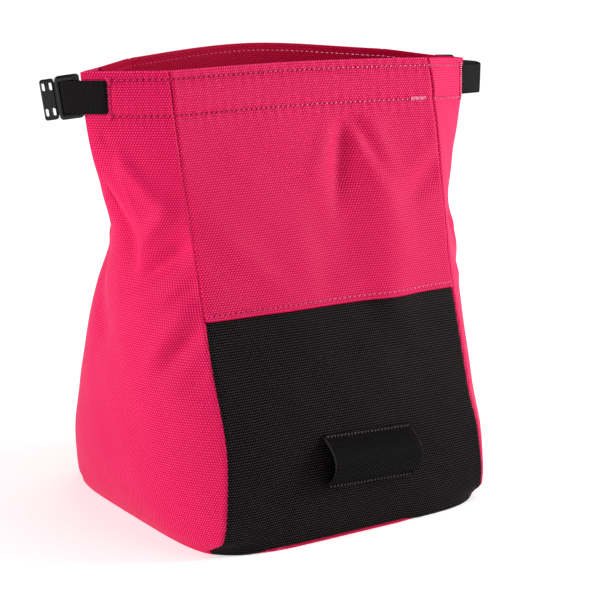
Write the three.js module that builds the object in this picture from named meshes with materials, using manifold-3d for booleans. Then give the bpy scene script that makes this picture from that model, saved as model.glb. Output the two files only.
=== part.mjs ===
// A free-standing chalk bucket for climbers: a square-based cloth bag whose gussets draw in to a
// wide lens-shaped mouth, with a hem casing, one webbing strap, two buckle halves and a brush loop.
//
// Millimetres. X runs to the right along the front, Y runs to the back, Z runs up.
// The origin is the middle of the base, on the surface that the bag stands on.

import * as THREE from 'three';
import Module from 'manifold-3d';
import { mergeVertices } from 'three/addons/utils/BufferGeometryUtils.js';

const wasm = await Module();
wasm.setup();

// Driving sizes of the cloth body
const BASE_WIDTH = 212;
const BASE_DEPTH = 211;
const RIM_HEIGHT = 308;
const PANEL_SPLIT_HEIGHT = 151;
const WALL = 1.8;
const SEAM_GAP = 0.3;
const BASE_CLOTH = 2;
const BASE_PIPING = 0.9;

// Hem casing round the mouth, an inner band that leaves room for the webbing
const CASING_DEPTH = 27.5;
const CASING_CLOTH = 1.2;
const CASING_LAP = 4;
const CASING_SEAT = 0.4;
const BACK_CASING_SHARE = 0.31;

// Webbing strap. It crosses the wall over a short run on each side of a slit, and beyond the
// right corner it is folded sharply and comes back behind the bag.
const STRAP_WIDTH = 20;
const STRAP_THICKNESS = 1.6;
const STRAP_BELOW_RIM = 6;
const STRAP_CLEARANCE = 0.3;
const SLIT_FROM_SEAM = 39.5;
const CASING_END_FROM_SEAM = 50;
const CROSSING_RUN = 4;
const STRAIGHT_SHORT_OF_CORNER = 0.5;
const STRAP_FOLD_REACH = 16;
const STRAP_FOLD_SHIFT = 2;
const STRAP_FOLD_RADIUS = 2;
const STRAP_RETURN_RISE = 3.5;
const STRAP_STANDOFF_BEHIND = 1.6;
const HEM_SHORT_OF_SLIT = 5.6;

// Buckle halves
const FRAME_LENGTH = 15.5;
const FRAME_THICKNESS = 6;
const RAIL_WIDTH = 2.4;
const END_RAIL_WIDTH = 1.8;
const END_RAIL_THICKNESS = 2;
const BAR_RADIUS = 1.3;
const BAR_FROM_FRAME_END = 9;
const HOLE_PLAY = 1.5;
const PLASTIC_BEVEL = 0.6;
const PLASTIC_CORNER = 1.6;
const NECK_LENGTH = 1.6;
const NECK_HEIGHT = 21;
const NECK_THICKNESS = 3.6;
const SOCKET_LENGTH = 8.7;
const SOCKET_HEIGHT = 26;
const SOCKET_THICKNESS = 5;
const SOCKET_RIM = 2.4;
const SOCKET_WINDOW_WIDTH = 2.5;
const SOCKET_WINDOW_HEIGHT = 5;
const SOCKET_WINDOW_CORNER = 1;
const SOCKET_WINDOW_PLACES = [0.26, 0.79];
const SOCKET_MOUTH_THICKNESS = 2.2;
const SOCKET_MOUTH_DEPTH = 6;
const BUCKLE_TILT = 8;
const BUCKLE_FROM_CORNER = 0.9;
const BACK_BUCKLE_FROM_CORNER = 2.9;
const TONGUE_LENGTH = 12;
const TONGUE_HEIGHT = 18;
const TONGUE_THICKNESS = 2.4;
const TONGUE_CORNER = 3;

// Brush loop on the lower front panel
const LOOP_LENGTH = 70;
const LOOP_HEIGHT = 34;
const LOOP_BULGE = 13;
const LOOP_CLOTH = 1.5;
const LOOP_FLANGE = 3;
const LOOP_MIDDLE_X = 5.5;
const LOOP_MIDDLE_HEIGHT = 51.5;
const LOOP_TILT = -2.5;
const LOOP_SEAT = 0.4;
const LOOP_FULLNESS = 2.6;

// Number of facets
const FRONT_COLUMNS = 18;
const GUSSET_COLUMNS = 16;
const BACK_COLUMNS = 12;
const LOWER_ROWS = 11;
const UPPER_ROWS = 10;
const CASING_ROWS = 2;
const CASING_LEFT_COLUMNS = 5;
const CASING_RIGHT_COLUMNS = 7;
const BACK_CASING_COLUMNS = 4;
const LOOP_COLUMNS = 10;
const LOOP_ROWS = 12;
const ROUND_SEGMENTS = 3;
const BAR_SEGMENTS = 10;
const BAR_TURN_STEPS = 6;
const STRAP_FOLD_STEPS = 4;

// How the foot's rows crowd towards the base, the share of the height over which folds fade out
// below the casing, how flat they leave the seams, and the longest mitre in offsets
const ROW_CROWDING = 1.5;
const FOLD_FADE = 0.05;
const SEAM_STIFFNESS = 8;
const MITRE_LIMIT = 2.2;

// How sharply the rim's lift grows with height, the steps of the search for a height, the share
// of a side's width over which its direction is taken, and the distance that joins two corners
const LIFT_SHARPNESS = 3;
const HEIGHT_PASSES = 4;
const NEARBY = 0.002;
const MERGE_DISTANCE = 1e-4;

// Shares of the right gusset's width where the returning strap starts and where it heads
const STRAP_RETURN_FROM = 0.53;
const STRAP_RETURN_TOWARDS = 0.9;

// Level sections of the bag, one a row, from the base seam to the rim.
// rise is a share of the height, halfWidth, frontBow, backBow and reach are shares of half the
// base width, front and back are shares of half the base depth. fullness is the exponent of the
// gusset's curve, 1 for a sharp fold, and squareness that of the front and back panels' ends.
// foldPlace is where the gusset's middle fold lies between its front seam and its back seam.
const SECTIONS = [
  { rise: 0.00, halfWidth: 1.040, front: -0.850, back: 0.900, frontBow: 0.183, backBow: 0.155,
    squareness: 6.0, reach: 0.075, fullness: 5.0, foldPlace: 0.50 },
  { rise: 0.03, halfWidth: 1.012, front: -0.980, back: 0.990, frontBow: 0.052, backBow: 0.050,
    squareness: 3.6, reach: 0.165, fullness: 4.2, foldPlace: 0.50 },
  { rise: 0.08, halfWidth: 0.998, front: -1.003, back: 1.005, frontBow: 0.028, backBow: 0.028,
    squareness: 3.0, reach: 0.235, fullness: 3.5, foldPlace: 0.50 },
  { rise: 0.16, halfWidth: 0.975, front: -0.985, back: 0.985, frontBow: 0.019, backBow: 0.028,
    squareness: 2.2, reach: 0.300, fullness: 3.3, foldPlace: 0.50 },
  { rise: 0.26, halfWidth: 0.948, front: -0.900, back: 0.895, frontBow: 0.025, backBow: 0.030,
    squareness: 2.0, reach: 0.320, fullness: 3.2, foldPlace: 0.50 },
  { rise: 0.40, halfWidth: 0.953, front: -0.765, back: 0.715, frontBow: 0.025, backBow: 0.035,
    squareness: 2.0, reach: 0.315, fullness: 3.0, foldPlace: 0.50 },
  { rise: 0.52, halfWidth: 0.953, front: -0.675, back: 0.575, frontBow: 0.022, backBow: 0.045,
    squareness: 2.0, reach: 0.295, fullness: 2.7, foldPlace: 0.49 },
  { rise: 0.645, halfWidth: 0.967, front: -0.593, back: 0.395, frontBow: 0.008, backBow: 0.067,
    squareness: 2.0, reach: 0.258, fullness: 2.0, foldPlace: 0.48 },
  { rise: 0.75, halfWidth: 0.979, front: -0.517, back: 0.338, frontBow: -0.012, backBow: 0.098,
    squareness: 2.0, reach: 0.350, fullness: 1.55, foldPlace: 0.46 },
  { rise: 0.88, halfWidth: 0.986, front: -0.432, back: 0.255, frontBow: -0.035, backBow: 0.145,
    squareness: 2.0, reach: 0.448, fullness: 1.22, foldPlace: 0.44 },
  { rise: 1.00, halfWidth: 0.986, front: -0.348, back: 0.180, frontBow: -0.055, backBow: 0.190,
    squareness: 2.0, reach: 0.476, fullness: 1.05, foldPlace: 0.43 },
];

// Edge of the base panel from its underside to its top: out is a share of the piping's
// projection past the wall's foot and height a share of the base cloth
const BASE_EDGE = [
  { out: -2.2, height: 0.00 },
  { out: 0.5, height: 0.30 },
  { out: 1.0, height: 0.65 },
  { out: 0.7, height: 1.00 },
];

// How the rim rises and falls round the mouth. place counts the sides from the front left seam,
// a whole number at each seam, and lift is a share of the height.
const RIM = [
  { place: 0.0, lift: 0.000 },
  { place: 0.5, lift: 0.004 },
  { place: 1.0, lift: 0.000 },
  { place: 1.5, lift: -0.010 },
  { place: 2.0, lift: 0.010 },
  { place: 2.5, lift: 0.032 },
  { place: 3.0, lift: 0.015 },
  { place: 3.5, lift: 0.001 },
  { place: 4.0, lift: 0.000 },
];

// Folds and dents of the cloth, one a row. across and rise give the two ends as shares of the
// side's width and of the height, depth is a share of the base width, inward below zero, and
// breadth a share of the height.
const FOLDS = [
  { side: 'front', across: [0.60, 0.58], rise: [0.86, 0.68], depth: -0.016, breadth: 0.042 },
  { side: 'front', across: [0.71, 0.69], rise: [0.87, 0.72], depth: 0.010, breadth: 0.042 },
  { side: 'front', across: [0.06, 0.28], rise: [0.63, 0.50], depth: -0.010, breadth: 0.040 },
  { side: 'left', across: [0.52, 0.62], rise: [0.72, 0.61], depth: -0.032, breadth: 0.045 },
  { side: 'left', across: [0.84, 0.66], rise: [0.64, 0.47], depth: 0.022, breadth: 0.036 },
  { side: 'left', across: [0.88, 0.74], rise: [0.54, 0.40], depth: -0.026, breadth: 0.036 },
  { side: 'left', across: [0.92, 0.80], rise: [0.41, 0.28], depth: -0.012, breadth: 0.034 },
  { side: 'left', across: [0.22, 0.40], rise: [0.60, 0.44], depth: -0.018, breadth: 0.045 },
  { side: 'right', across: [0.48, 0.40], rise: [0.68, 0.62], depth: -0.026, breadth: 0.040 },
  { side: 'right', across: [0.18, 0.36], rise: [0.60, 0.46], depth: 0.018, breadth: 0.038 },
  { side: 'right', across: [0.72, 0.56], rise: [0.58, 0.42], depth: -0.020, breadth: 0.045 },
  { side: 'back', across: [0.34, 0.38], rise: [0.84, 0.60], depth: -0.018, breadth: 0.050 },
  { side: 'back', across: [0.64, 0.70], rise: [0.74, 0.50], depth: -0.014, breadth: 0.052 },
  { side: 'back', across: [0.14, 0.34], rise: [0.46, 0.32], depth: -0.012, breadth: 0.042 },
];

// Finishes
const PINK_CLOTH = { color: 0xdc215e, roughness: 0.85, metalness: 0 };
const DARK_PINK_CLOTH = { color: 0xa81040, roughness: 0.9, metalness: 0 };
const BLACK_CLOTH = { color: 0x211c1e, roughness: 0.85, metalness: 0 };
const BLACK_WEBBING = { color: 0x1f191b, roughness: 0.75, metalness: 0 };
const BLACK_PLASTIC = { color: 0x323034, roughness: 0.45, metalness: 0 };

const SIDES = ['front', 'right', 'back', 'left'];
const SIDE_COLUMNS = {
  front: FRONT_COLUMNS,
  right: GUSSET_COLUMNS,
  back: BACK_COLUMNS,
  left: GUSSET_COLUMNS,
};
const SIDE_WIDTH = { front: BASE_WIDTH, right: BASE_DEPTH, back: BASE_WIDTH, left: BASE_DEPTH };
const FOOT_HEIGHT = BASE_CLOTH + SEAM_GAP;

// A smooth curve through the rows of a table that never overshoots them
function curveThrough(rows, along, column) {
  const x = rows.map((row) => row[along]);
  const y = rows.map((row) => row[column]);
  const last = x.length - 1;
  const step = x.slice(1).map((value, i) => value - x[i]);
  const slope = step.map((value, i) => (y[i + 1] - y[i]) / value);
  const tangent = x.map((value, i) => {
    if (i === 0 || i === last) {
      return slope[Math.min(i, last - 1)];
    }
    if (slope[i - 1] * slope[i] <= 0) {
      return 0;
    }
    const before = 2 * step[i] + step[i - 1];
    const after = step[i] + 2 * step[i - 1];
    return (before + after) / (before / slope[i - 1] + after / slope[i]);
  });
  return (at) => {
    let i = 0;
    while (i < last - 1 && at > x[i + 1]) {
      i += 1;
    }
    const s = (at - x[i]) / step[i];
    const rest = 1 - s;
    const ends = y[i] * (1 + 2 * s) * rest * rest + y[i + 1] * s * s * (3 - 2 * s);
    return ends + step[i] * s * rest * (tangent[i] * rest - tangent[i + 1] * s);
  };
}

const section = {};
for (const column of Object.keys(SECTIONS[0])) {
  section[column] = curveThrough(SECTIONS, 'rise', column);
}
const rimLift = curveThrough(RIM, 'place', 'lift');

// Height of the cloth at a place round the bag
function heightAt(side, across, rise) {
  const lift = rimLift(SIDES.indexOf(side) + across);
  return FOOT_HEIGHT + (RIM_HEIGHT - FOOT_HEIGHT) * (rise + lift * rise ** LIFT_SHARPNESS);
}

// The share of the height that lies a given distance below the rim
function riseBelowRim(side, across, distance) {
  const target = heightAt(side, across, 1) - distance;
  let rise = target / RIM_HEIGHT;
  for (let pass = 0; pass < HEIGHT_PASSES; pass += 1) {
    rise += (target - heightAt(side, across, rise)) / (RIM_HEIGHT - FOOT_HEIGHT);
  }
  return rise;
}

// Outline of a side at a level, before its folds
function outlineAt(side, across, rise) {
  const halfWidth = (section.halfWidth(rise) * BASE_WIDTH) / 2;
  const front = (section.front(rise) * BASE_DEPTH) / 2;
  const back = (section.back(rise) * BASE_DEPTH) / 2;
  if (side === 'front' || side === 'back') {
    const share = 2 * across - 1;
    const crown = 1 - Math.abs(share) ** section.squareness(rise);
    if (side === 'front') {
      const bow = (section.frontBow(rise) * BASE_WIDTH) / 2;
      return new THREE.Vector2(halfWidth * share, front - bow * crown);
    }
    const bow = (section.backBow(rise) * BASE_WIDTH) / 2;
    return new THREE.Vector2(-halfWidth * share, back + bow * crown);
  }
  const fromFront = side === 'right' ? across : 1 - across;
  const place = section.foldPlace(rise);
  const share = fromFront < 0.5 ? 2 * fromFront * place : place + (2 * fromFront - 1) * (1 - place);
  const reach = (section.reach(rise) * BASE_WIDTH) / 2;
  const spread = reach * (1 - Math.abs(2 * fromFront - 1) ** section.fullness(rise));
  const x = halfWidth + spread;
  return new THREE.Vector2(side === 'right' ? x : -x, front + (back - front) * share);
}

// Distance of the casing's lower edge from the rim, and its share of the height
const casingFoot = CASING_DEPTH + CASING_LAP / 2;
const casingRise = riseBelowRim('front', 0, casingFoot + CASING_LAP / 2);

// How far the folds move the cloth outwards at a place. The casing's layers hold it flat.
function foldAt(side, across, rise) {
  const belowCasing = THREE.MathUtils.smoothstep(casingRise - rise, 0, FOLD_FADE);
  const fade = belowCasing * (1 - Math.abs(2 * across - 1) ** SEAM_STIFFNESS);
  let push = 0;
  for (const fold of FOLDS.filter((row) => row.side === side)) {
    const runX = (fold.across[1] - fold.across[0]) * SIDE_WIDTH[side];
    const runZ = (fold.rise[1] - fold.rise[0]) * RIM_HEIGHT;
    const x = (across - fold.across[0]) * SIDE_WIDTH[side];
    const z = (rise - fold.rise[0]) * RIM_HEIGHT;
    const length = Math.hypot(runX, runZ);
    const along = (x * runX + z * runZ) / length;
    const off = (x * runZ - z * runX) / length;
    const past = Math.max(0, -along, along - length);
    const breadth = fold.breadth * RIM_HEIGHT;
    push += fold.depth * BASE_WIDTH * Math.exp(-(off * off + past * past) / (breadth * breadth));
  }
  return push * fade;
}

// Unit vector across a path seen from above, on its right-hand side, which is outwards here,
// lengthened at a bend so that an offset path keeps its distance from both legs
function outwardAt(before, at, after) {
  const legs = [[before, at], [at, after]].map(([from, to]) => {
    const leg = new THREE.Vector2(to.x - from.x, to.y - from.y);
    return leg.lengthSq() > 0 ? new THREE.Vector2(leg.y, -leg.x).normalize() : null;
  });
  const [first, second] = [legs[0] ?? legs[1], legs[1] ?? legs[0]];
  const normal = first.clone().add(second).normalize();
  return normal.multiplyScalar(Math.min(MITRE_LIMIT, 1 / normal.dot(first)));
}

// A point of the cloth's outer face, moved outwards by an offset. The outline's direction is
// taken over a small share of the side's width.
function clothPoint(side, across, rise, offset = 0) {
  const here = outlineAt(side, across, rise);
  const ahead = outlineAt(side, Math.min(1, across + NEARBY), rise);
  const behind = outlineAt(side, Math.max(0, across - NEARBY), rise);
  const outward = outwardAt(behind, here, ahead).normalize();
  const push = foldAt(side, across, rise) + offset;
  const height = heightAt(side, across, rise);
  return new THREE.Vector3(here.x + outward.x * push, here.y + outward.y * push, height);
}

// Places round the bag, column by column, from the front left seam and back to it
const places = [];
for (const side of SIDES) {
  for (let i = 0; i < SIDE_COLUMNS[side]; i += 1) {
    places.push({ side, across: i / SIDE_COLUMNS[side] });
  }
}

// A closed ring of cloth points at one level, with its neighbours' bend taken into account
function offsetRing(ring, offset) {
  return ring.map((point, i) => {
    const before = ring[(i + ring.length - 1) % ring.length];
    const after = ring[(i + 1) % ring.length];
    const outward = outwardAt(before, point, after);
    return new THREE.Vector3(point.x + outward.x * offset, point.y + outward.y * offset, point.z);
  });
}

// The same for an open line of points
function offsetLine(line, offset) {
  return line.map((point, i) => {
    const before = line[Math.max(0, i - 1)];
    const after = line[Math.min(line.length - 1, i + 1)];
    const outward = outwardAt(before, point, after);
    return new THREE.Vector3(point.x + outward.x * offset, point.y + outward.y * offset, point.z);
  });
}

function ringAt(rise) {
  return places.map(({ side, across }) => clothPoint(side, across, rise));
}

// Levels of the wall: close together near the base, where it turns in
const splitRise = (PANEL_SPLIT_HEIGHT - FOOT_HEIGHT) / (RIM_HEIGHT - FOOT_HEIGHT);
const levels = [];
for (let i = 0; i <= LOWER_ROWS; i += 1) {
  levels.push(splitRise * (i / LOWER_ROWS) ** ROW_CROWDING);
}
for (let i = 1; i <= UPPER_ROWS; i += 1) {
  levels.push(splitRise + ((casingRise - splitRise) * i) / UPPER_ROWS);
}
for (let i = 1; i <= CASING_ROWS; i += 1) {
  levels.push(casingRise + ((1 - casingRise) * i) / CASING_ROWS);
}
const outerRings = levels.map(ringAt);
const innerRings = outerRings.map((ring) => offsetRing(ring, -WALL));
const splitRow = LOWER_ROWS;
const rimRow = levels.length - 1;

function surfaceOf(points, faces) {
  const positions = points.flatMap((point) => point.toArray());
  const geometry = new THREE.BufferGeometry();
  geometry.setAttribute('position', new THREE.Float32BufferAttribute(positions, 3));
  geometry.setIndex(faces);
  return geometry;
}

// A closed solid between two grids of points. The rows of a grid run up and its columns run
// with the outer grid's faces looking outwards.
function solidBetween(outer, inner) {
  const rows = outer.length;
  const columns = outer[0].length;
  const points = [...outer.flat(), ...inner.flat()];
  const faces = [];
  const outerIndex = (row, column) => row * columns + column;
  const innerIndex = (row, column) => rows * columns + row * columns + column;
  const addQuad = (a, b, c, d) => {
    const short = points[a].distanceToSquared(points[c]) < points[b].distanceToSquared(points[d]);
    faces.push(...(short ? [a, b, c, a, c, d] : [a, b, d, b, c, d]));
  };
  const addRim = ([a, b], [c, d]) => addQuad(a, b, c, d);
  for (let row = 0; row < rows - 1; row += 1) {
    for (let column = 0; column < columns - 1; column += 1) {
      const corners = [[row, column], [row, column + 1], [row + 1, column + 1], [row + 1, column]];
      const [a, b, c, d] = corners.map(([r, k]) => outerIndex(r, k));
      const [e, f, g, h] = corners.map(([r, k]) => innerIndex(r, k));
      addQuad(a, b, c, d);
      addQuad(h, g, f, e);
    }
  }
  const top = rows - 1;
  for (let column = 0; column < columns - 1; column += 1) {
    const next = column + 1;
    addRim([innerIndex(0, column), innerIndex(0, next)], [outerIndex(0, next), outerIndex(0, column)]);
    addRim(
      [outerIndex(top, column), outerIndex(top, next)],
      [innerIndex(top, next), innerIndex(top, column)],
    );
  }
  const end = columns - 1;
  for (let row = 0; row < rows - 1; row += 1) {
    const next = row + 1;
    addRim([outerIndex(row, 0), outerIndex(next, 0)], [innerIndex(next, 0), innerIndex(row, 0)]);
    addRim([innerIndex(row, end), innerIndex(next, end)], [outerIndex(next, end), outerIndex(row, end)]);
  }
  return surfaceOf(points, faces);
}

// Draws the end of a line of points in by half a seam gap
function drawIn(line) {
  const half = SEAM_GAP / 2;
  const first = line[1].clone().sub(line[0]).setLength(half).add(line[0]);
  const last = line.at(-2).clone().sub(line.at(-1)).setLength(half).add(line.at(-1));
  return [first, ...line.slice(1, -1), last];
}

// One panel of the wall, drawn in at its side seams, and at its top or bottom where it meets
// another panel there
function wallPanel(side, fromRow, toRow, seamBelow, seamAbove) {
  const start = places.findIndex((place) => place.side === side);
  const count = SIDE_COLUMNS[side];
  const grids = [outerRings, innerRings].map((rings) => {
    const rows = rings.slice(fromRow, toRow + 1).map((ring) => (
      drawIn(Array.from({ length: count + 1 }, (value, i) => ring[(start + i) % ring.length]))
    ));
    const columns = rows[0].map((point, i) => drawIn(rows.map((row) => row[i])));
    if (seamBelow) {
      rows[0] = columns.map((column) => column[0]);
    }
    if (seamAbove) {
      rows[rows.length - 1] = columns.map((column) => column.at(-1));
    }
    return rows;
  });
  return solidBetween(grids[0], grids[1]);
}

// Joining and cutting
function toSolid(geometry) {
  const bare = geometry.clone();
  bare.deleteAttribute('normal');
  bare.deleteAttribute('uv');
  const merged = mergeVertices(bare, MERGE_DISTANCE);
  const vertProperties = new Float32Array(merged.attributes.position.array);
  const triVerts = new Uint32Array(merged.index.array);
  return new wasm.Manifold(new wasm.Mesh({ numProp: 3, vertProperties, triVerts }));
}

function toGeometry(solid) {
  const mesh = solid.getMesh();
  const geometry = new THREE.BufferGeometry();
  geometry.setAttribute('position', new THREE.Float32BufferAttribute(mesh.vertProperties, 3));
  geometry.setIndex(Array.from(mesh.triVerts));
  return geometry;
}

// Base panel: a flat sheet whose edge rolls a little past the foot of the wall
function basePanel() {
  const foot = outerRings[0];
  const rings = BASE_EDGE.map(({ out, height }) => (
    offsetRing(foot, out * BASE_PIPING).map(({ x, y }) => new THREE.Vector3(x, y, height * BASE_CLOTH))
  ));
  const points = rings.flat();
  const count = foot.length;
  const faces = [];
  for (let row = 0; row < rings.length - 1; row += 1) {
    for (let i = 0; i < count; i += 1) {
      const next = (i + 1) % count;
      const low = row * count;
      const high = low + count;
      faces.push(low + i, low + next, high + next, low + i, high + next, high + i);
    }
  }
  const bottom = points.push(new THREE.Vector3(0, 0, 0)) - 1;
  const top = points.push(new THREE.Vector3(0, 0, BASE_CLOTH)) - 1;
  const topStart = (rings.length - 1) * count;
  for (let i = 0; i < count; i += 1) {
    const next = (i + 1) % count;
    faces.push(bottom, next, i, top, topStart + i, topStart + next);
  }
  return surfaceOf(points, faces);
}

// Length of the gusset's front half along the rim, from the seam to the corner of the mouth
const cornerReach = outlineAt('right', 0.5, 1).distanceTo(outlineAt('right', 0, 1));

// A place on a gusset's front half, given in millimetres from the front seam
function gussetPlace(side, distance) {
  const share = distance / cornerReach / 2;
  return { side, across: side === 'right' ? share : 1 - share };
}

// Places at even steps, from a first share of a side's width to a last one
function placesAlong(side, first, last, count) {
  return Array.from({ length: count + 1 }, (value, i) => (
    { side, across: first + ((last - first) * i) / count }
  ));
}

// The run of places from near the left slit, along the front, to near the casing's right end
function casingPlaces(leftDistance, rightDistance) {
  const left = gussetPlace('left', leftDistance).across;
  const right = gussetPlace('right', rightDistance).across;
  return [
    ...placesAlong('left', left, 1, CASING_LEFT_COLUMNS).slice(0, -1),
    ...placesAlong('front', 0, 1, FRONT_COLUMNS).slice(0, -1),
    ...placesAlong('right', 0, right, CASING_RIGHT_COLUMNS),
  ];
}

// Points of the cloth's outer face at a distance below the rim, along a run of places
function lineBelowRim(run, below) {
  return run.map(({ side, across }) => clothPoint(side, across, riseBelowRim(side, across, below)));
}

// Room for the strap in the casing, with a clearance on each side and one to spare
const strapRoom = STRAP_THICKNESS + 3 * STRAP_CLEARANCE;

// Inner hem band: it lies on the wall along its two stitched edges and stands off it between
// them by the room given. Each row is a distance below the rim and an offset from the wall.
function hemBand(run, room) {
  const full = CASING_SEAT + room;
  const rows = [
    { below: casingFoot, offset: CASING_SEAT },
    { below: STRAP_BELOW_RIM + STRAP_WIDTH + STRAP_CLEARANCE, offset: full },
    { below: STRAP_BELOW_RIM + STRAP_WIDTH / 2, offset: full },
    { below: STRAP_BELOW_RIM - STRAP_CLEARANCE, offset: full },
    { below: CASING_LAP / 2, offset: CASING_SEAT },
    { below: SEAM_GAP, offset: CASING_SEAT },
  ];
  const grids = [0, CASING_CLOTH].map((depth) => rows.map(({ below, offset }) => (
    offsetLine(lineBelowRim(run, below), -(WALL + offset + depth))
  )));
  return solidBetween(grids[0], grids[1]);
}

// Webbing strap. Its route is a list of stations, each with the middle of the upper edge and of
// the lower edge, so that it leans with the cloth inside the casing.
function strapStation(place, offset, lift = 0) {
  const ends = [STRAP_BELOW_RIM, STRAP_BELOW_RIM + STRAP_WIDTH].map((below) => {
    const rise = riseBelowRim(place.side, place.across, below);
    const point = clothPoint(place.side, place.across, rise, offset);
    point.z += lift;
    return point;
  });
  return { top: ends[0], bottom: ends[1] };
}

// Where a buckle half hangs: the middle of its bar, the way the strap arrives, and outwards
const outsideOffset = STRAP_CLEARANCE + STRAP_THICKNESS / 2;
const insideOffset = -(WALL + CASING_SEAT + STRAP_CLEARANCE + STRAP_THICKNESS / 2);
const loopRadius = BAR_RADIUS + STRAP_CLEARANCE + STRAP_THICKNESS / 2;

function midStation(station) {
  return station.top.clone().add(station.bottom).multiplyScalar(0.5);
}

// How far the strap keeps to the gusset before it leaves it at the mouth's corner
const straightReach = cornerReach - STRAIGHT_SHORT_OF_CORNER;

// Left end: straight on along the gusset's front half, past the mouth's corner
const leftStart = strapStation(gussetPlace('left', SLIT_FROM_SEAM + 2 * CROSSING_RUN), outsideOffset);
const leftCorner = midStation(strapStation(gussetPlace('left', straightReach), outsideOffset));
const leftAway = leftCorner.clone().sub(midStation(leftStart)).setZ(0).normalize();
const leftOut = new THREE.Vector3(-leftAway.y, leftAway.x, 0);
const leftFrameEnd = leftCorner.clone().addScaledVector(leftAway, BUCKLE_FROM_CORNER);
const leftBar = leftFrameEnd.clone()
  .addScaledVector(leftAway, BAR_FROM_FRAME_END)
  .addScaledVector(leftOut, -loopRadius);

// Right end: out past the corner, folded sharply back, and along the gusset's back half
const rightCorner = midStation(strapStation(gussetPlace('right', straightReach), outsideOffset));
const rightFold = rightCorner.clone();
rightFold.add(new THREE.Vector3(STRAP_FOLD_REACH, STRAP_FOLD_SHIFT, 0));
const behindOffset = outsideOffset + STRAP_STANDOFF_BEHIND;
const pastCorner = { side: 'right', across: STRAP_RETURN_FROM };
const nearBackSeam = { side: 'right', across: STRAP_RETURN_TOWARDS };
const backCorner = midStation(strapStation(pastCorner, behindOffset));
const backSeam = midStation(strapStation(nearBackSeam, behindOffset));
const rightAway = backSeam.clone().sub(backCorner).setZ(0).normalize();
const rightOut = new THREE.Vector3(rightAway.y, -rightAway.x, 0);
backCorner.z = rightCorner.z + STRAP_RETURN_RISE;
const rightFrameEnd = backCorner.clone().addScaledVector(rightAway, BACK_BUCKLE_FROM_CORNER);
const rightBar = rightFrameEnd.clone()
  .addScaledVector(rightAway, BAR_FROM_FRAME_END)
  .addScaledVector(rightOut, loopRadius);

// The end of the strap round a bar: over it, round it and back under, in the buckle's own plane
function barTurn(bar, away, out, tilt, returnLength) {
  const lean = Math.tan(THREE.MathUtils.degToRad(tilt));
  const half = STRAP_WIDTH / 2;
  const stationAt = (along, across) => {
    const middle = bar.clone().addScaledVector(away, along).addScaledVector(out, across);
    const shift = away.clone().multiplyScalar(lean * half);
    return {
      top: middle.clone().add(shift).add(new THREE.Vector3(0, 0, half)),
      bottom: middle.clone().sub(shift).add(new THREE.Vector3(0, 0, -half)),
    };
  };
  const turn = [];
  for (let i = 0; i <= BAR_TURN_STEPS; i += 1) {
    const angle = (Math.PI * i) / BAR_TURN_STEPS;
    turn.push(stationAt(loopRadius * Math.sin(angle), loopRadius * Math.cos(angle)));
  }
  turn.push(stationAt(-returnLength, -loopRadius));
  return turn;
}

function ribbonSolid(stations, thickness, extraWidth) {
  const edges = ['bottom', 'top'].map((key) => stations.map((station) => {
    const other = key === 'top' ? station.bottom : station.top;
    const stretch = station[key].clone().sub(other).setLength(extraWidth);
    return station[key].clone().add(stretch);
  }));
  const outer = edges.map((line) => offsetLine(line, thickness / 2));
  const inner = edges.map((line) => offsetLine(line, -thickness / 2));
  return solidBetween(outer, inner);
}

// The strap's whole route, from the left half's bar to the right half's
const returnLength = BAR_FROM_FRAME_END - RAIL_WIDTH;
const leftEnd = barTurn(leftBar, leftAway, leftOut, BUCKLE_TILT, returnLength).reverse();
const leftCrossing = [
  leftStart,
  strapStation(gussetPlace('left', SLIT_FROM_SEAM + CROSSING_RUN), outsideOffset),
  strapStation(gussetPlace('left', SLIT_FROM_SEAM - CROSSING_RUN), insideOffset),
];
const strapRun = casingPlaces(
  SLIT_FROM_SEAM - 2 * CROSSING_RUN,
  CASING_END_FROM_SEAM - 2 * CROSSING_RUN,
);
const strapEdges = [STRAP_BELOW_RIM, STRAP_BELOW_RIM + STRAP_WIDTH].map((below) => (
  offsetLine(lineBelowRim(strapRun, below), insideOffset)
));
const insideStations = strapRun.map((place, i) => ({ top: strapEdges[0][i], bottom: strapEdges[1][i] }));
const rightCrossing = [
  strapStation(gussetPlace('right', CASING_END_FROM_SEAM - CROSSING_RUN), insideOffset),
  strapStation(gussetPlace('right', CASING_END_FROM_SEAM + CROSSING_RUN), outsideOffset),
];

function shiftedStation(station, target, lift) {
  const middle = midStation(station);
  const move = target.clone().sub(middle);
  move.z += lift;
  return { top: station.top.clone().add(move), bottom: station.bottom.clone().add(move) };
}

function uprightStation(middle) {
  const half = new THREE.Vector3(0, 0, STRAP_WIDTH / 2);
  return { top: middle.clone().add(half), bottom: middle.clone().sub(half) };
}

const rightTurn = [];
const outbound = rightFold.clone().sub(midStation(rightCrossing[1])).setZ(0).normalize();
const outboundSide = new THREE.Vector3(-outbound.y, outbound.x, 0);
for (let i = 0; i <= STRAP_FOLD_STEPS; i += 1) {
  const share = i / STRAP_FOLD_STEPS;
  const angle = Math.PI * share;
  const point = rightFold.clone()
    .addScaledVector(outbound, STRAP_FOLD_RADIUS * Math.sin(angle))
    .addScaledVector(outboundSide, STRAP_FOLD_RADIUS * (1 - Math.cos(angle)));
  rightTurn.push(shiftedStation(rightCrossing[1], point, (STRAP_RETURN_RISE / 2) * share));
}
const rightEnd = barTurn(rightBar, rightAway, rightOut.clone().negate(), 0, returnLength);
const strapStations = [
  ...leftEnd,
  ...leftCrossing,
  ...insideStations,
  ...rightCrossing,
  ...rightTurn,
  uprightStation(backCorner),
  ...rightEnd,
];

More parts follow.
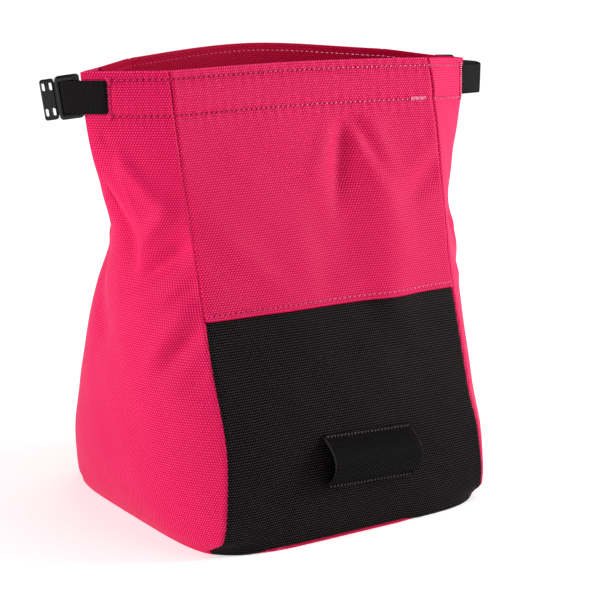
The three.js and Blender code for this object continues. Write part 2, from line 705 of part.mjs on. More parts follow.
// Buckle halves, drawn in their own plane: first axis away from the bag, second axis up, third
// axis outwards, with the origin in the middle of the bar that the strap goes round
function roundedOutline(left, right, halfHeight, radius) {
  const shape = new THREE.Shape();
  shape.moveTo(left + radius, -halfHeight);
  shape.lineTo(right - radius, -halfHeight);
  shape.absarc(right - radius, -halfHeight + radius, radius, -Math.PI / 2, 0);
  shape.lineTo(right, halfHeight - radius);
  shape.absarc(right - radius, halfHeight - radius, radius, 0, Math.PI / 2);
  shape.lineTo(left + radius, halfHeight);
  shape.absarc(left + radius, halfHeight - radius, radius, Math.PI / 2, Math.PI);
  shape.lineTo(left, -halfHeight + radius);
  shape.absarc(left + radius, -halfHeight + radius, radius, Math.PI, Math.PI * 1.5);
  return shape;
}

function plate(shape, thickness, bevel) {
  const geometry = new THREE.ExtrudeGeometry(shape, {
    depth: thickness - 2 * bevel,
    bevelEnabled: bevel > 0,
    bevelThickness: bevel,
    bevelSize: bevel,
    bevelOffset: -bevel,
    bevelSegments: 1,
    curveSegments: ROUND_SEGMENTS,
  });
  geometry.translate(0, 0, -thickness / 2 + bevel);
  return geometry;
}

function block(left, right, low, high, back, front) {
  const box = new THREE.BoxGeometry(right - left, high - low, front - back);
  return box.translate((left + right) / 2, (low + high) / 2, (back + front) / 2);
}

const holeHalf = STRAP_WIDTH / 2 + HOLE_PLAY;
const frameHalf = holeHalf + RAIL_WIDTH;
const frameStart = -BAR_FROM_FRAME_END;
const frameStop = frameStart + FRAME_LENGTH;

// The frame with its bar. Its near end is lowered so that the strap passes over and under it.
function ladderFrame() {
  const ring = roundedOutline(frameStart, frameStop, frameHalf, RAIL_WIDTH);
  const holeStart = frameStart + END_RAIL_WIDTH;
  ring.holes.push(roundedOutline(holeStart, frameStop - END_RAIL_WIDTH, holeHalf, PLASTIC_BEVEL));
  const bar = new THREE.CylinderGeometry(BAR_RADIUS, BAR_RADIUS, holeHalf + frameHalf, BAR_SEGMENTS);
  const whole = toSolid(plate(ring, FRAME_THICKNESS, PLASTIC_BEVEL)).add(toSolid(bar));
  const low = END_RAIL_THICKNESS / 2;
  const room = [[-FRAME_THICKNESS, -low], [low, FRAME_THICKNESS]].map(([back, front]) => (
    toSolid(block(frameStart - RAIL_WIDTH, frameStart + RAIL_WIDTH, -holeHalf, holeHalf, back, front))
  ));
  return whole.subtract(room[0]).subtract(room[1]);
}

// Half with the socket: a flat case with four windows, open at its far end
function socketHalf() {
  const start = frameStop + NECK_LENGTH - PLASTIC_BEVEL;
  const stop = start + SOCKET_LENGTH;
  const outline = roundedOutline(start, stop, SOCKET_HEIGHT / 2, PLASTIC_CORNER);
  const neck = block(
    frameStop - END_RAIL_WIDTH / 2, start + END_RAIL_WIDTH,
    -NECK_HEIGHT / 2, NECK_HEIGHT / 2,
    -NECK_THICKNESS / 2, NECK_THICKNESS / 2,
  );
  const mouthHalf = SOCKET_HEIGHT / 2 - SOCKET_RIM;
  const mouth = block(
    stop - SOCKET_MOUTH_DEPTH, stop + SOCKET_MOUTH_DEPTH,
    -mouthHalf, mouthHalf,
    -SOCKET_MOUTH_THICKNESS / 2, SOCKET_MOUTH_THICKNESS / 2,
  );
  let solid = ladderFrame()
    .add(toSolid(plate(outline, SOCKET_THICKNESS, PLASTIC_BEVEL)))
    .add(toSolid(neck))
    .subtract(toSolid(mouth));
  const windowRow = mouthHalf - SOCKET_WINDOW_HEIGHT / 2;
  for (const share of SOCKET_WINDOW_PLACES) {
    const middle = start + SOCKET_LENGTH * share;
    for (const height of [-windowRow, windowRow]) {
      solid = solid.subtract(toSolid(socketWindow(middle, height)));
    }
  }
  return solid;
}

function socketWindow(middle, height) {
  const half = SOCKET_WINDOW_WIDTH / 2;
  const outline = roundedOutline(
    middle - half, middle + half, SOCKET_WINDOW_HEIGHT / 2, SOCKET_WINDOW_CORNER,
  );
  return plate(outline, 2 * SOCKET_THICKNESS, 0).translate(0, height, 0);
}

// Mating half: the same frame with a plain tongue
function tongueHalf() {
  const start = frameStop - END_RAIL_WIDTH / 2;
  const outline = roundedOutline(start, frameStop + TONGUE_LENGTH, TONGUE_HEIGHT / 2, TONGUE_CORNER);
  return ladderFrame().add(toSolid(plate(outline, TONGUE_THICKNESS, PLASTIC_BEVEL)));
}

// Puts a buckle half at its bar, turned in its own plane by its tilt
function seatBuckle(solid, bar, away, out, tilt) {
  const up = new THREE.Vector3(0, 0, 1);
  const flipped = new THREE.Vector3().crossVectors(away, up).dot(out) < 0;
  const geometry = toGeometry(solid);
  const lean = new THREE.Matrix4().makeRotationZ(THREE.MathUtils.degToRad(-tilt));
  const third = flipped ? out.clone().negate() : out;
  const pose = new THREE.Matrix4().makeBasis(away, up, third).setPosition(bar);
  return geometry.applyMatrix4(lean).applyMatrix4(pose);
}

// Brush loop: a strip of cloth sewn down along its upper and lower edges, arched between them
// and open at both ends. Its profile runs up the panel, with its second value standing off it.
function brushLoop() {
  const tilt = THREE.MathUtils.degToRad(LOOP_TILT);
  const flange = LOOP_FLANGE / LOOP_HEIGHT;
  const profile = Array.from({ length: LOOP_ROWS + 1 }, (value, row) => {
    const up = row / LOOP_ROWS;
    const share = THREE.MathUtils.clamp((up - flange) / (1 - 2 * flange), 0, 1);
    const arch = 1 - Math.abs(2 * share - 1) ** LOOP_FULLNESS;
    return new THREE.Vector3((up - 0.5) * LOOP_HEIGHT, (LOOP_BULGE - LOOP_CLOTH) * arch, 0);
  });
  const pointAt = (along, across, out) => {
    const x = LOOP_MIDDLE_X + along * Math.cos(tilt) - across * Math.sin(tilt);
    const z = LOOP_MIDDLE_HEIGHT + along * Math.sin(tilt) + across * Math.cos(tilt);
    const rise = (z - FOOT_HEIGHT) / (RIM_HEIGHT - FOOT_HEIGHT);
    const halfWidth = (section.halfWidth(rise) * BASE_WIDTH) / 2;
    const panel = clothPoint('front', 0.5 + x / halfWidth / 2, rise);
    return new THREE.Vector3(x, panel.y - LOOP_SEAT - out, z);
  };
  const grids = [-LOOP_CLOTH, 0].map((depth) => (
    offsetLine(profile, depth).map((point) => (
      Array.from({ length: LOOP_COLUMNS + 1 }, (value, column) => (
        pointAt((column / LOOP_COLUMNS - 0.5) * LOOP_LENGTH, point.x, point.y)
      ))
    ))
  ));
  return solidBetween(grids[0], grids[1]);
}

// The casing's slits are cut by the strap itself, grown by its clearance
const passageThickness = STRAP_THICKNESS + 2 * STRAP_CLEARANCE;
const strapPassage = toSolid(ribbonSolid(strapStations, passageThickness, STRAP_CLEARANCE));
function slitGusset(side) {
  return toGeometry(toSolid(wallPanel(side, 0, rimRow, false, false)).subtract(strapPassage));
}

// The front hem band stops short of where the strap crosses the wall, and the back one begins
// part of the way round each gusset's back half
const frontRun = casingPlaces(
  SLIT_FROM_SEAM - HEM_SHORT_OF_SLIT,
  CASING_END_FROM_SEAM - HEM_SHORT_OF_SLIT,
);
const backRun = [
  ...placesAlong('right', 1 - BACK_CASING_SHARE, 1, BACK_CASING_COLUMNS).slice(0, -1),
  ...placesAlong('back', 0, 1, BACK_COLUMNS),
  ...placesAlong('left', 0, BACK_CASING_SHARE, BACK_CASING_COLUMNS).slice(1),
];

// Assembly
const bag = new THREE.Group();

function addPiece(name, geometry, finish) {
  const mesh = new THREE.Mesh(geometry, new THREE.MeshStandardMaterial(finish));
  mesh.name = name;
  bag.add(mesh);
}

const leftHalf = seatBuckle(socketHalf(), leftBar, leftAway, leftOut, BUCKLE_TILT);
const rightHalf = seatBuckle(tongueHalf(), rightBar, rightAway, rightOut, 0);
addPiece('front_upper_panel', wallPanel('front', splitRow, rimRow, true, false), PINK_CLOTH);
addPiece('front_lower_panel', wallPanel('front', 0, splitRow, false, true), BLACK_CLOTH);
addPiece('back_panel', wallPanel('back', 0, rimRow, false, false), PINK_CLOTH);
addPiece('left_gusset', slitGusset('left'), PINK_CLOTH);
addPiece('right_gusset', slitGusset('right'), PINK_CLOTH);
addPiece('base_panel', basePanel(), PINK_CLOTH);
addPiece('front_casing', hemBand(frontRun, strapRoom), DARK_PINK_CLOTH);
addPiece('back_casing', hemBand(backRun, 0), DARK_PINK_CLOTH);
addPiece('closure_strap', ribbonSolid(strapStations, STRAP_THICKNESS, 0), BLACK_WEBBING);
addPiece('left_buckle_half', leftHalf, BLACK_PLASTIC);
addPiece('right_buckle_half', rightHalf, BLACK_PLASTIC);
addPiece('brush_loop', brushLoop(), BLACK_CLOTH);

export default bag;
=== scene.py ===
"""Looks of a free-standing chalk bucket: cloth, hems, stitches, webbing and buckle halves.

The cloth follows the same level sections and rim as the CAD part, on finer grids with rolled
edges, narrow creases and a woven relief. Eight of the part's broad folds are the same here. Its
three front folds and three of its left ones are replaced by folds and creases of this script's
own. Lengths are metres in the part's frame: X runs to the right along the front, Y to the back
and Z up.
"""

import logging
import math
from dataclasses import dataclass, replace
from enum import Enum

import bpy
import numpy as np
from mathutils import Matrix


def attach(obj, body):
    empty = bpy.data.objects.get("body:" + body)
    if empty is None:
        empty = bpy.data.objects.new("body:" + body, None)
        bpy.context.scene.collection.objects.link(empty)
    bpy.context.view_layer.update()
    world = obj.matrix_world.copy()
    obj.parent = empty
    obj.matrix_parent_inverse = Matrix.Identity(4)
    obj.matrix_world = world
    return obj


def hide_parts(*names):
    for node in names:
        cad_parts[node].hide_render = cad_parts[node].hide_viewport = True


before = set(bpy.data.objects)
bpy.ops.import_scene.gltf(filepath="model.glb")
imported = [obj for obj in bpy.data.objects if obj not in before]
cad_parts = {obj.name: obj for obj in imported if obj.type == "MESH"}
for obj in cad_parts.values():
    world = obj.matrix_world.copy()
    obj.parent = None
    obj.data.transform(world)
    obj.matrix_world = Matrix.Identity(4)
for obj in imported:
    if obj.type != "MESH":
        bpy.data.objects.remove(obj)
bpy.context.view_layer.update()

logging.basicConfig(level=logging.INFO, format="%(message)s")
LOG = logging.getLogger("chalk_bucket")

MM = 0.001
UV_NAME = "cloth"

Grid = np.ndarray
Tree = bpy.types.NodeTree
Socket = bpy.types.NodeSocket


class Side(Enum):
    """Sides of the bag, numbered in the order in which they run round it."""

    FRONT = 0
    RIGHT = 1
    BACK = 2
    LEFT = 3


GUSSETS = (Side.LEFT, Side.RIGHT)

# Sizes shared with the part's source
BASE_WIDTH = 212 * MM
BASE_DEPTH = 211 * MM
RIM_HEIGHT = 308 * MM
FOOT_HEIGHT = 2.3 * MM
SPLIT_HEIGHT = 151 * MM
WALL = 1.8 * MM
CORNER_REACH = 55.86 * MM
STRAP_WIDTH = 20 * MM
STRAP_THICKNESS = 1.6 * MM
HEIGHT_SPAN = RIM_HEIGHT - FOOT_HEIGHT
SPLIT_SHARE = (SPLIT_HEIGHT - FOOT_HEIGHT) / HEIGHT_SPAN

# Length of a gusset along the rim, which turns lengths there into places round the bag
GUSSET_SPAN = 2 * CORNER_REACH

# Distances below the rim of the casing's two rows of stitches
CASING_TOP = 5.2 * MM
CASING_LOW = 28.0 * MM

# A mitred corner of a moved line reaches at most this many times the move
MITRE_LIMIT = 2.2

# Level sections of the bag from the base seam to the rim, as shares of half the base sizes
SECTION_COLUMNS = (
    "rise", "half_width", "front", "back", "front_bow", "back_bow",
    "squareness", "reach", "fullness", "fold_place",
)
SECTIONS = np.array([
    [0.000, 1.040, -0.850, 0.900, 0.183, 0.155, 6.0, 0.075, 5.00, 0.50],
    [0.030, 1.012, -0.980, 0.990, 0.052, 0.050, 3.6, 0.165, 4.20, 0.50],
    [0.080, 0.998, -1.003, 1.005, 0.028, 0.028, 3.0, 0.235, 3.50, 0.50],
    [0.160, 0.975, -0.985, 0.985, 0.019, 0.028, 2.2, 0.300, 3.30, 0.50],
    [0.260, 0.948, -0.900, 0.895, 0.025, 0.030, 2.0, 0.320, 3.20, 0.50],
    [0.400, 0.953, -0.765, 0.715, 0.025, 0.035, 2.0, 0.315, 3.00, 0.50],
    [0.520, 0.953, -0.675, 0.575, 0.022, 0.045, 2.0, 0.295, 2.70, 0.49],
    [0.645, 0.967, -0.593, 0.395, 0.008, 0.067, 2.0, 0.258, 2.00, 0.48],
    [0.750, 0.979, -0.517, 0.338, -0.012, 0.098, 2.0, 0.350, 1.55, 0.46],
    [0.880, 0.986, -0.432, 0.255, -0.035, 0.145, 2.0, 0.448, 1.22, 0.44],
    [1.000, 0.986, -0.348, 0.180, -0.055, 0.190, 2.0, 0.476, 1.05, 0.43],
])

# Extra height of the rim by place round the bag
RIM_PLACES = np.array([0.0, 0.5, 1.0, 1.5, 2.0, 2.5, 3.0, 3.5, 4.0])
RIM_LIFTS = np.array([0.0, 0.004, 0.0, -0.010, 0.010, 0.032, 0.015, 0.001, 0.0])

# Broad folds, which shape the outline: side, share across from and to, share of the height from
# and to, depth in shares of the base width, breadth in shares of the height. The three on the
# front are this script's own, the others are in the part's source too.
FOLDS = np.array([
    [0, 0.600, 0.565, 0.845, 0.610, -0.014, 0.050],
    [0, 0.765, 0.735, 0.720, 0.500, 0.017, 0.062],
    [0, 0.471, 0.481, 0.708, 0.537, -0.009, 0.042],
    [3, 0.520, 0.620, 0.720, 0.610, -0.032, 0.045],
    [3, 0.220, 0.400, 0.600, 0.440, -0.018, 0.045],
    [1, 0.480, 0.400, 0.680, 0.620, -0.026, 0.040],
    [1, 0.180, 0.360, 0.600, 0.460, 0.018, 0.038],
    [1, 0.720, 0.560, 0.580, 0.420, -0.020, 0.045],
    [2, 0.340, 0.380, 0.840, 0.600, -0.018, 0.050],
    [2, 0.640, 0.700, 0.740, 0.500, -0.014, 0.052],
    [2, 0.140, 0.340, 0.460, 0.320, -0.012, 0.042],
])

# Narrow creases, in the same columns, which only this script has
CREASES = np.array([
    [0, 0.636, 0.548, 0.862, 0.665, -0.0150, 0.022],
    [0, 0.650, 0.765, 0.856, 0.690, 0.0095, 0.025],
    [0, 0.655, 0.765, 0.892, 0.755, -0.0100, 0.018],
    [0, 0.605, 0.450, 0.900, 0.705, 0.0085, 0.026],
    [0, 0.740, 0.800, 0.870, 0.749, 0.0060, 0.024],
    [0, 0.995, 0.820, 0.810, 0.740, 0.0080, 0.026],
    [0, 0.995, 0.800, 0.752, 0.680, -0.0130, 0.024],
    [0, 0.951, 0.950, 0.860, 0.793, -0.0035, 0.012],
    [0, 0.051, 0.341, 0.692, 0.500, 0.0060, 0.026],
    [0, 0.010, 0.120, 0.625, 0.560, -0.0040, 0.024],
    [3, 0.680, 0.915, 0.815, 0.705, 0.0150, 0.028],
    [3, 0.671, 0.741, 0.790, 0.646, 0.0032, 0.014],
    [3, 0.920, 0.600, 0.720, 0.590, 0.0190, 0.024],
    [3, 0.975, 0.600, 0.640, 0.530, -0.0270, 0.024],
    [3, 0.965, 0.847, 0.567, 0.529, 0.0060, 0.012],
    [3, 0.990, 0.860, 0.560, 0.515, -0.0120, 0.016],
    [3, 0.960, 0.761, 0.518, 0.378, 0.0150, 0.024],
    [3, 0.995, 0.800, 0.476, 0.355, -0.0190, 0.021],
    [3, 0.995, 0.900, 0.385, 0.335, -0.0080, 0.015],
    [3, 0.030, 0.330, 0.695, 0.655, -0.0160, 0.016],
    [3, 0.020, 0.300, 0.655, 0.600, 0.0080, 0.022],
    [3, 0.600, 0.660, 0.870, 0.850, -0.0040, 0.014],
    [1, 0.060, 0.300, 0.640, 0.560, -0.0060, 0.018],
    [1, 0.100, 0.360, 0.520, 0.400, 0.0060, 0.018],
    [2, 0.080, 0.260, 0.620, 0.540, -0.0060, 0.018],
    [2, 0.900, 0.720, 0.600, 0.520, 0.0060, 0.018],
])

# Slow waves over the whole cloth: size, turns round the bag, turns up it and start, in radians
SLOW_WAVES = ((1.0, 9.1, 11.0, 0.4), (1.0, 17.3, -14.0, 1.9), (0.6, 31.0, 29.0, 3.1))

# Section of the base's edge in millimetres: how far out and how far up
BASE_EDGE = ((-2.0, 0.0), (0.0, 0.15), (0.3, 0.6), (0.6, 1.2), (0.5, 1.7), (0.2, 2.0))


def unit(vectors: np.ndarray) -> np.ndarray:
    """The vectors in the last axis, each at length 1."""
    return vectors / np.maximum(np.linalg.norm(vectors, axis=-1, keepdims=True), 1e-12)


def cubic(share: np.ndarray, start, start_slope, stop, stop_slope) -> np.ndarray:
    """The cubic between two values that has the given slopes at its ends."""
    square = share * share
    cube = square * share
    return (
        (2 * cube - 3 * square + 1) * start
        + (cube - 2 * square + share) * start_slope
        + (3 * square - 2 * cube) * stop
        + (cube - square) * stop_slope
    )


class SmoothCurve:
    """A curve through a table's points that never overshoots them."""

    def __init__(self, places: np.ndarray, values: np.ndarray) -> None:
        """Takes the table's two columns and works out the tangents at its points."""
        step = np.diff(places)
        slope = np.diff(values) / step
        before = 2 * step[1:] + step[:-1]
        after = step[1:] + 2 * step[:-1]
        same_way = slope[:-1] * slope[1:] > 0
        safe = np.where(same_way[:, None], np.stack([slope[:-1], slope[1:]], 1), 1.0)
        middle = (before + after) / (before / safe[:, 0] + after / safe[:, 1])
        self.places = places
        self.values = values
        self.tangents = np.concatenate([slope[:1], np.where(same_way, middle, 0.0), slope[-1:]])

    def __call__(self, at: np.ndarray) -> np.ndarray:
        """Value of the curve at each place."""
        before = np.searchsorted(self.places, at, side="right") - 1
        first = np.clip(before, 0, len(self.places) - 2)
        length = self.places[first + 1] - self.places[first]
        return cubic(
            (at - self.places[first]) / length,
            self.values[first],
            length * self.tangents[first],
            self.values[first + 1],
            length * self.tangents[first + 1],
        )


def smooth_step(value: np.ndarray, low: float, high: float) -> np.ndarray:
    """0 below low, 1 above high and a smooth rise between them."""
    share = np.clip((value - low) / (high - low), 0, 1)
    return share * share * (3 - 2 * share)


@dataclass
class BagForm:
    """The bag's cloth surface as a function of place round the bag and share of its height."""

    casing_rise: float = 0.8969578
    fold_fade: float = 0.035
    seam_stiffness: float = 8.0
    crease_start: float = 0.2
    crease_tail: float = 0.8
    nearby: float = 0.002
    side_widths: tuple = (BASE_WIDTH, BASE_DEPTH, BASE_WIDTH, BASE_DEPTH)

    def __post_init__(self) -> None:
        """Makes the curves through the tables."""
        self.section = {
            name: SmoothCurve(SECTIONS[:, 0], SECTIONS[:, column])
            for column, name in enumerate(SECTION_COLUMNS)
        }
        self.lift = SmoothCurve(RIM_PLACES, RIM_LIFTS)

    def height(self, place: np.ndarray, rise: np.ndarray) -> np.ndarray:
        """Height of the cloth above the floor."""
        return FOOT_HEIGHT + HEIGHT_SPAN * (rise + self.lift(place % 4) * rise**3)

    def rise_below_rim(self, place: np.ndarray, distance: np.ndarray) -> np.ndarray:
        """Share of the height that lies a distance below the rim."""
        target = self.height(place, np.ones_like(place)) - distance
        rise = target / RIM_HEIGHT
        for _ in range(4):
            rise = rise + (target - self.height(place, rise)) / HEIGHT_SPAN
        return rise

    def outline(self, side: np.ndarray, across: np.ndarray, rise: np.ndarray) -> np.ndarray:
        """Plan position of the cloth before its folds.

        The front and back are straight lines bowed by a power of the distance from their middle.
        A gusset reaches out from the line between its seams by a power of the distance from its
        middle fold.

        Args:
            side: number of the side of each point.
            across: share of the side's width at each point.
            rise: share of the height at each point.

        Returns:
            The points' X and Y in the last axis.
        """
        at = {name: curve(rise) for name, curve in self.section.items()}
        half_width = at["half_width"] * BASE_WIDTH / 2
        front = at["front"] * BASE_DEPTH / 2
        back = at["back"] * BASE_DEPTH / 2
        share = 2 * across - 1
        crown = 1 - np.abs(share) ** at["squareness"]
        front_y = front - at["front_bow"] * BASE_WIDTH / 2 * crown
        back_y = back + at["back_bow"] * BASE_WIDTH / 2 * crown
        from_front = np.where(side == Side.RIGHT.value, across, 1 - across)
        place = at["fold_place"]
        depth_share = np.where(
            from_front < 0.5, 2 * from_front * place, place + (2 * from_front - 1) * (1 - place)
        )
        spread = np.clip(1 - np.abs(2 * from_front - 1) ** at["fullness"], 0, 1)
        gusset_x = half_width + at["reach"] * BASE_WIDTH / 2 * spread
        gusset_y = front + (back - front) * depth_share
        x = np.select(
            [side == 0, side == 1, side == 2],
            [half_width * share, gusset_x, -half_width * share],
            -gusset_x,
        )
        y = np.select([side == 0, side == 2], [front_y, back_y], gusset_y)
        return np.stack([x, y], -1)

    def fold_push(
        self, side: np.ndarray, across: np.ndarray, rise: np.ndarray, rows: np.ndarray,
        hold: float, pointed: bool = False,
    ) -> np.ndarray:
        """How far the folds push the cloth outwards.

        Each fold is a ridge or valley along a line, with a bell-shaped section that also rounds
        its ends. Folds fade out under the casing and flatten at the seams.

        Args:
            side: number of the side of each point.
            across: share of the side's width at each point.
            rise: share of the height at each point.
            rows: the table of folds.
            hold: power that keeps the seams straight.
            pointed: whether the folds start quickly and run out slowly along their lines.

        Returns:
            The push of each point, in metres.
        """
        widths = np.asarray(self.side_widths)[side]
        push = np.zeros_like(rise)
        for number, a0, a1, r0, r1, depth, breadth in rows:
            run_x = (a1 - a0) * self.side_widths[int(number)]
            run_z = (r1 - r0) * RIM_HEIGHT
            length = math.hypot(run_x, run_z)
            x = (across - a0) * widths
            z = (rise - r0) * RIM_HEIGHT
            along = (x * run_x + z * run_z) / length
            off = (x * run_z - z * run_x) / length
            past = np.maximum(0, np.maximum(-along, along - length))
            bell = np.exp(-(off**2 + past**2) / (breadth * RIM_HEIGHT) ** 2)
            if pointed:
                share = along / length
                bell *= smooth_step(share, -self.crease_start, self.crease_start)
                bell *= smooth_step(1 + self.crease_start - share, 0, self.crease_tail)
            push += np.where(side == number, depth * BASE_WIDTH * bell, 0)
        below_casing = smooth_step(self.casing_rise - rise, 0, self.fold_fade)
        return push * below_casing * (1 - np.abs(2 * across - 1) ** hold)

    def cloth(self, place: np.ndarray, rise: np.ndarray, offset: np.ndarray | float = 0.0) -> Grid:
        """Points of the cloth's outer face.

        Args:
            place: side number plus share across, for each point.
            rise: share of the height, for each point.
            offset: how far outwards each point moves, in metres.

        Returns:
            The points, with X, Y and Z in the last axis.
        """
        round_place = place % 4
        side = np.floor(round_place).astype(int)
        across = round_place - side
        here = self.outline(side, across, rise)
        ahead = self.outline(side, np.minimum(across + self.nearby, 1), rise)
        behind = self.outline(side, np.maximum(across - self.nearby, 0), rise)
        along = unit(ahead - behind)
        outward = np.stack([along[..., 1], -along[..., 0]], -1)
        push = (
            offset
            + self.fold_push(side, across, rise, FOLDS, self.seam_stiffness)
            + self.fold_push(side, across, rise, CREASES, 2 * self.seam_stiffness, pointed=True)
        )
        plan = here + outward * np.asarray(push)[..., None]
        return np.concatenate([plan, self.height(place, rise)[..., None]], -1)

    def below_rim(self, place: np.ndarray, distance: np.ndarray, offset: float = 0.0) -> Grid:
        """Points of the cloth at distances below the rim."""
        place, distance = np.broadcast_arrays(place, distance)
        return self.cloth(place, self.rise_below_rim(place, distance), offset)


FORM = BagForm()


def shifted(points: Grid, distance: np.ndarray | float) -> Grid:
    """Moves each row of a grid sideways in plan, mitred at its bends.

    Args:
        points: rows of points, each row running round the bag with the outside on its right.
        distance: how far outwards the points move, one number or one for each point.

    Returns:
        The moved grid.
    """
    legs = np.diff(points[..., :2], axis=1)
    normals = unit(np.stack([legs[..., 1], -legs[..., 0]], -1))
    first = np.concatenate([normals[:, :1], normals], 1)
    second = np.concatenate([normals, normals[:, -1:]], 1)
    mean = unit(first + second)
    mitre = np.minimum(MITRE_LIMIT, 1 / np.maximum((mean * first).sum(-1), 0.1))
    moved = points.copy()
    moved[..., :2] += mean * (mitre * distance)[..., None]
    return moved


def lengths_along(points: Grid, axis: int) -> np.ndarray:
    """Length of a grid's lines along one axis, counted from the line's middle."""
    steps = np.linalg.norm(np.diff(points, axis=axis), axis=-1)
    start = np.zeros_like(np.take(steps, [0], axis=axis))
    total = np.concatenate([start, np.cumsum(steps, axis=axis)], axis=axis)
    middle = np.take(total, [total.shape[axis] // 2], axis=axis)
    return total - middle


def cloth_uv(points: Grid) -> np.ndarray:
    """Cloth coordinates in metres: along each row, and up the middle column."""
    across = lengths_along(points, 1)
    up = lengths_along(points[:, points.shape[1] // 2][:, None], 0)
    return np.stack([across, np.broadcast_to(up, across.shape)], -1)


def distance_along(line: np.ndarray) -> np.ndarray:
    """Distance of each point of a line from its start, along it."""
    return np.concatenate([[0], np.cumsum(np.linalg.norm(np.diff(line, axis=0), axis=1))])


def values_at(line: np.ndarray, values: np.ndarray, at: np.ndarray) -> np.ndarray:
    """Values that go with a line's points, at distances along it."""
    along = distance_along(line)
    return np.stack([np.interp(at, along, column) for column in values.T], 1)


@dataclass
class MeshParts:
    """Vertices, faces and cloth coordinates of a mesh before it is made."""

    points: np.ndarray
    faces: list
    uv: np.ndarray


def joined(parts: list[MeshParts]) -> MeshParts:
    """Several meshes as one."""
    starts = np.cumsum([0] + [len(part.points) for part in parts]).tolist()
    faces = [
        tuple(index + start for index in face)
        for part, start in zip(parts, starts)
        for face in part.faces
    ]
    points = np.concatenate([part.points for part in parts])
    return MeshParts(points, faces, np.concatenate([part.uv for part in parts]))


def shell(
    outer: Grid, inner: Grid, uv: np.ndarray, roll: float = 0.9, steps: int = 4
) -> MeshParts:
    """Closes two facing grids into a sheet with rolled edges.

    The edge of the sheet is half an ellipse swept round it. It starts on the outer grid's edge,
    swells past it in the sheet's own plane, and ends on the inner grid's edge.

    Args:
        outer: grid of the outer face.
        inner: grid of the inner face, of the same shape.
        uv: cloth coordinates of the grid.
        roll: how far the edge swells, in shares of half the thickness.
        steps: steps of the half ellipse.

    Returns:
        The closed mesh's parts, with faces outwards.
    """
    rows, columns = outer.shape[:2]
    count = rows * columns
    index = np.arange(count).reshape(rows, columns)
    edge = np.concatenate([index[0, :-1], index[:-1, -1], index[-1, :0:-1], index[:0:-1, 0]])
    row, column = np.divmod(edge, columns)
    within = index[np.clip(row, 1, rows - 2), np.clip(column, 1, columns - 2)]
    flat_outer = outer.reshape(-1, 3)
    flat_inner = inner.reshape(-1, 3)
    flat_uv = uv.reshape(-1, 2)
    middle = (flat_outer[edge] + flat_inner[edge]) / 2
    across = flat_outer[edge] - middle
    half = np.linalg.norm(across, axis=1, keepdims=True)
    out = flat_outer[edge] - flat_outer[within]
    out -= across * (out * across).sum(1, keepdims=True) / np.maximum(half, 1e-9) ** 2
    out /= np.maximum(np.linalg.norm(out, axis=1, keepdims=True), 1e-12)
    turn = (np.pi * np.arange(1, steps) / steps)[:, None, None]
    rings = middle + across * np.cos(turn) + out * half * roll * np.sin(turn)
    size = len(edge)
    points = np.concatenate([flat_outer, rings.reshape(-1, 3), flat_inner])
    all_uv = np.concatenate([flat_uv, np.tile(flat_uv[edge], (steps - 1, 1)), flat_uv])
    last = count + (steps - 1) * size
    corners = (index[:-1, :-1], index[:-1, 1:], index[1:, 1:], index[1:, :-1])
    quads = np.stack(corners, -1).reshape(-1, 4)
    between = count + np.arange((steps - 1) * size).reshape(-1, size)
    loops = np.concatenate([edge[None], between, edge[None] + last])
    following = np.roll(loops, -1, axis=1)
    walls = np.stack([following[:-1], loops[:-1], loops[1:], following[1:]], -1).reshape(-1, 4)
    faces = np.concatenate([quads, quads[:, ::-1] + last, walls])
    return MeshParts(points, turned_outwards(points, faces).tolist(), all_uv)


def turned_outwards(points: np.ndarray, faces: np.ndarray) -> np.ndarray:
    """The faces, all reversed if the closed mesh they make would be inside out."""
    a, b, c = (points[faces[:, corner]] for corner in (0, 1, 2))
    volume = (np.cross(a, b) * c).sum()
    if faces.shape[1] == 4:
        d = points[faces[:, 3]]
        volume += (np.cross(a, c) * d).sum()
    return faces if volume > 0 else faces[:, ::-1]


def ring_quads(count: int, sides: int) -> np.ndarray:
    """Faces between closed rings of points, by ring: each to the next, the last to the first."""
    index = np.arange(count * sides).reshape(count, sides)
    above = np.roll(index, -1, axis=0)
    return np.stack([index, np.roll(index, -1, 1), np.roll(above, -1, 1), above], -1)


def capped(rings: Grid, poles: np.ndarray, uv: np.ndarray) -> MeshParts:
    """A tube of rings that is closed by a point at each end.

    Args:
        rings: points of each ring.
        poles: the point that closes the first ring and the one that closes the last.
        uv: cloth coordinates of the rings' points, then of the poles.

    Returns:
        The tube's mesh, with faces outwards.
    """
    count, sides = rings.shape[:2]
    points = np.concatenate([rings.reshape(-1, 3), poles])
    quads = ring_quads(count, sides)[:-1].reshape(-1, 4)
    ring = np.arange(sides)
    following = np.roll(ring, -1)
    last = (count - 1) * sides
    pole = np.full(sides, count * sides)
    low = np.stack([pole, following, ring], 1)
    high = np.stack([pole + 1, last + ring, last + following], 1)
    caps = np.concatenate([low, high])
    turned = turned_outwards(points - points.mean(0), quads)
    if turned[0, 0] != quads[0, 0]:
        caps = caps[:, ::-1]
    return MeshParts(points, turned.tolist() + caps.tolist(), uv)


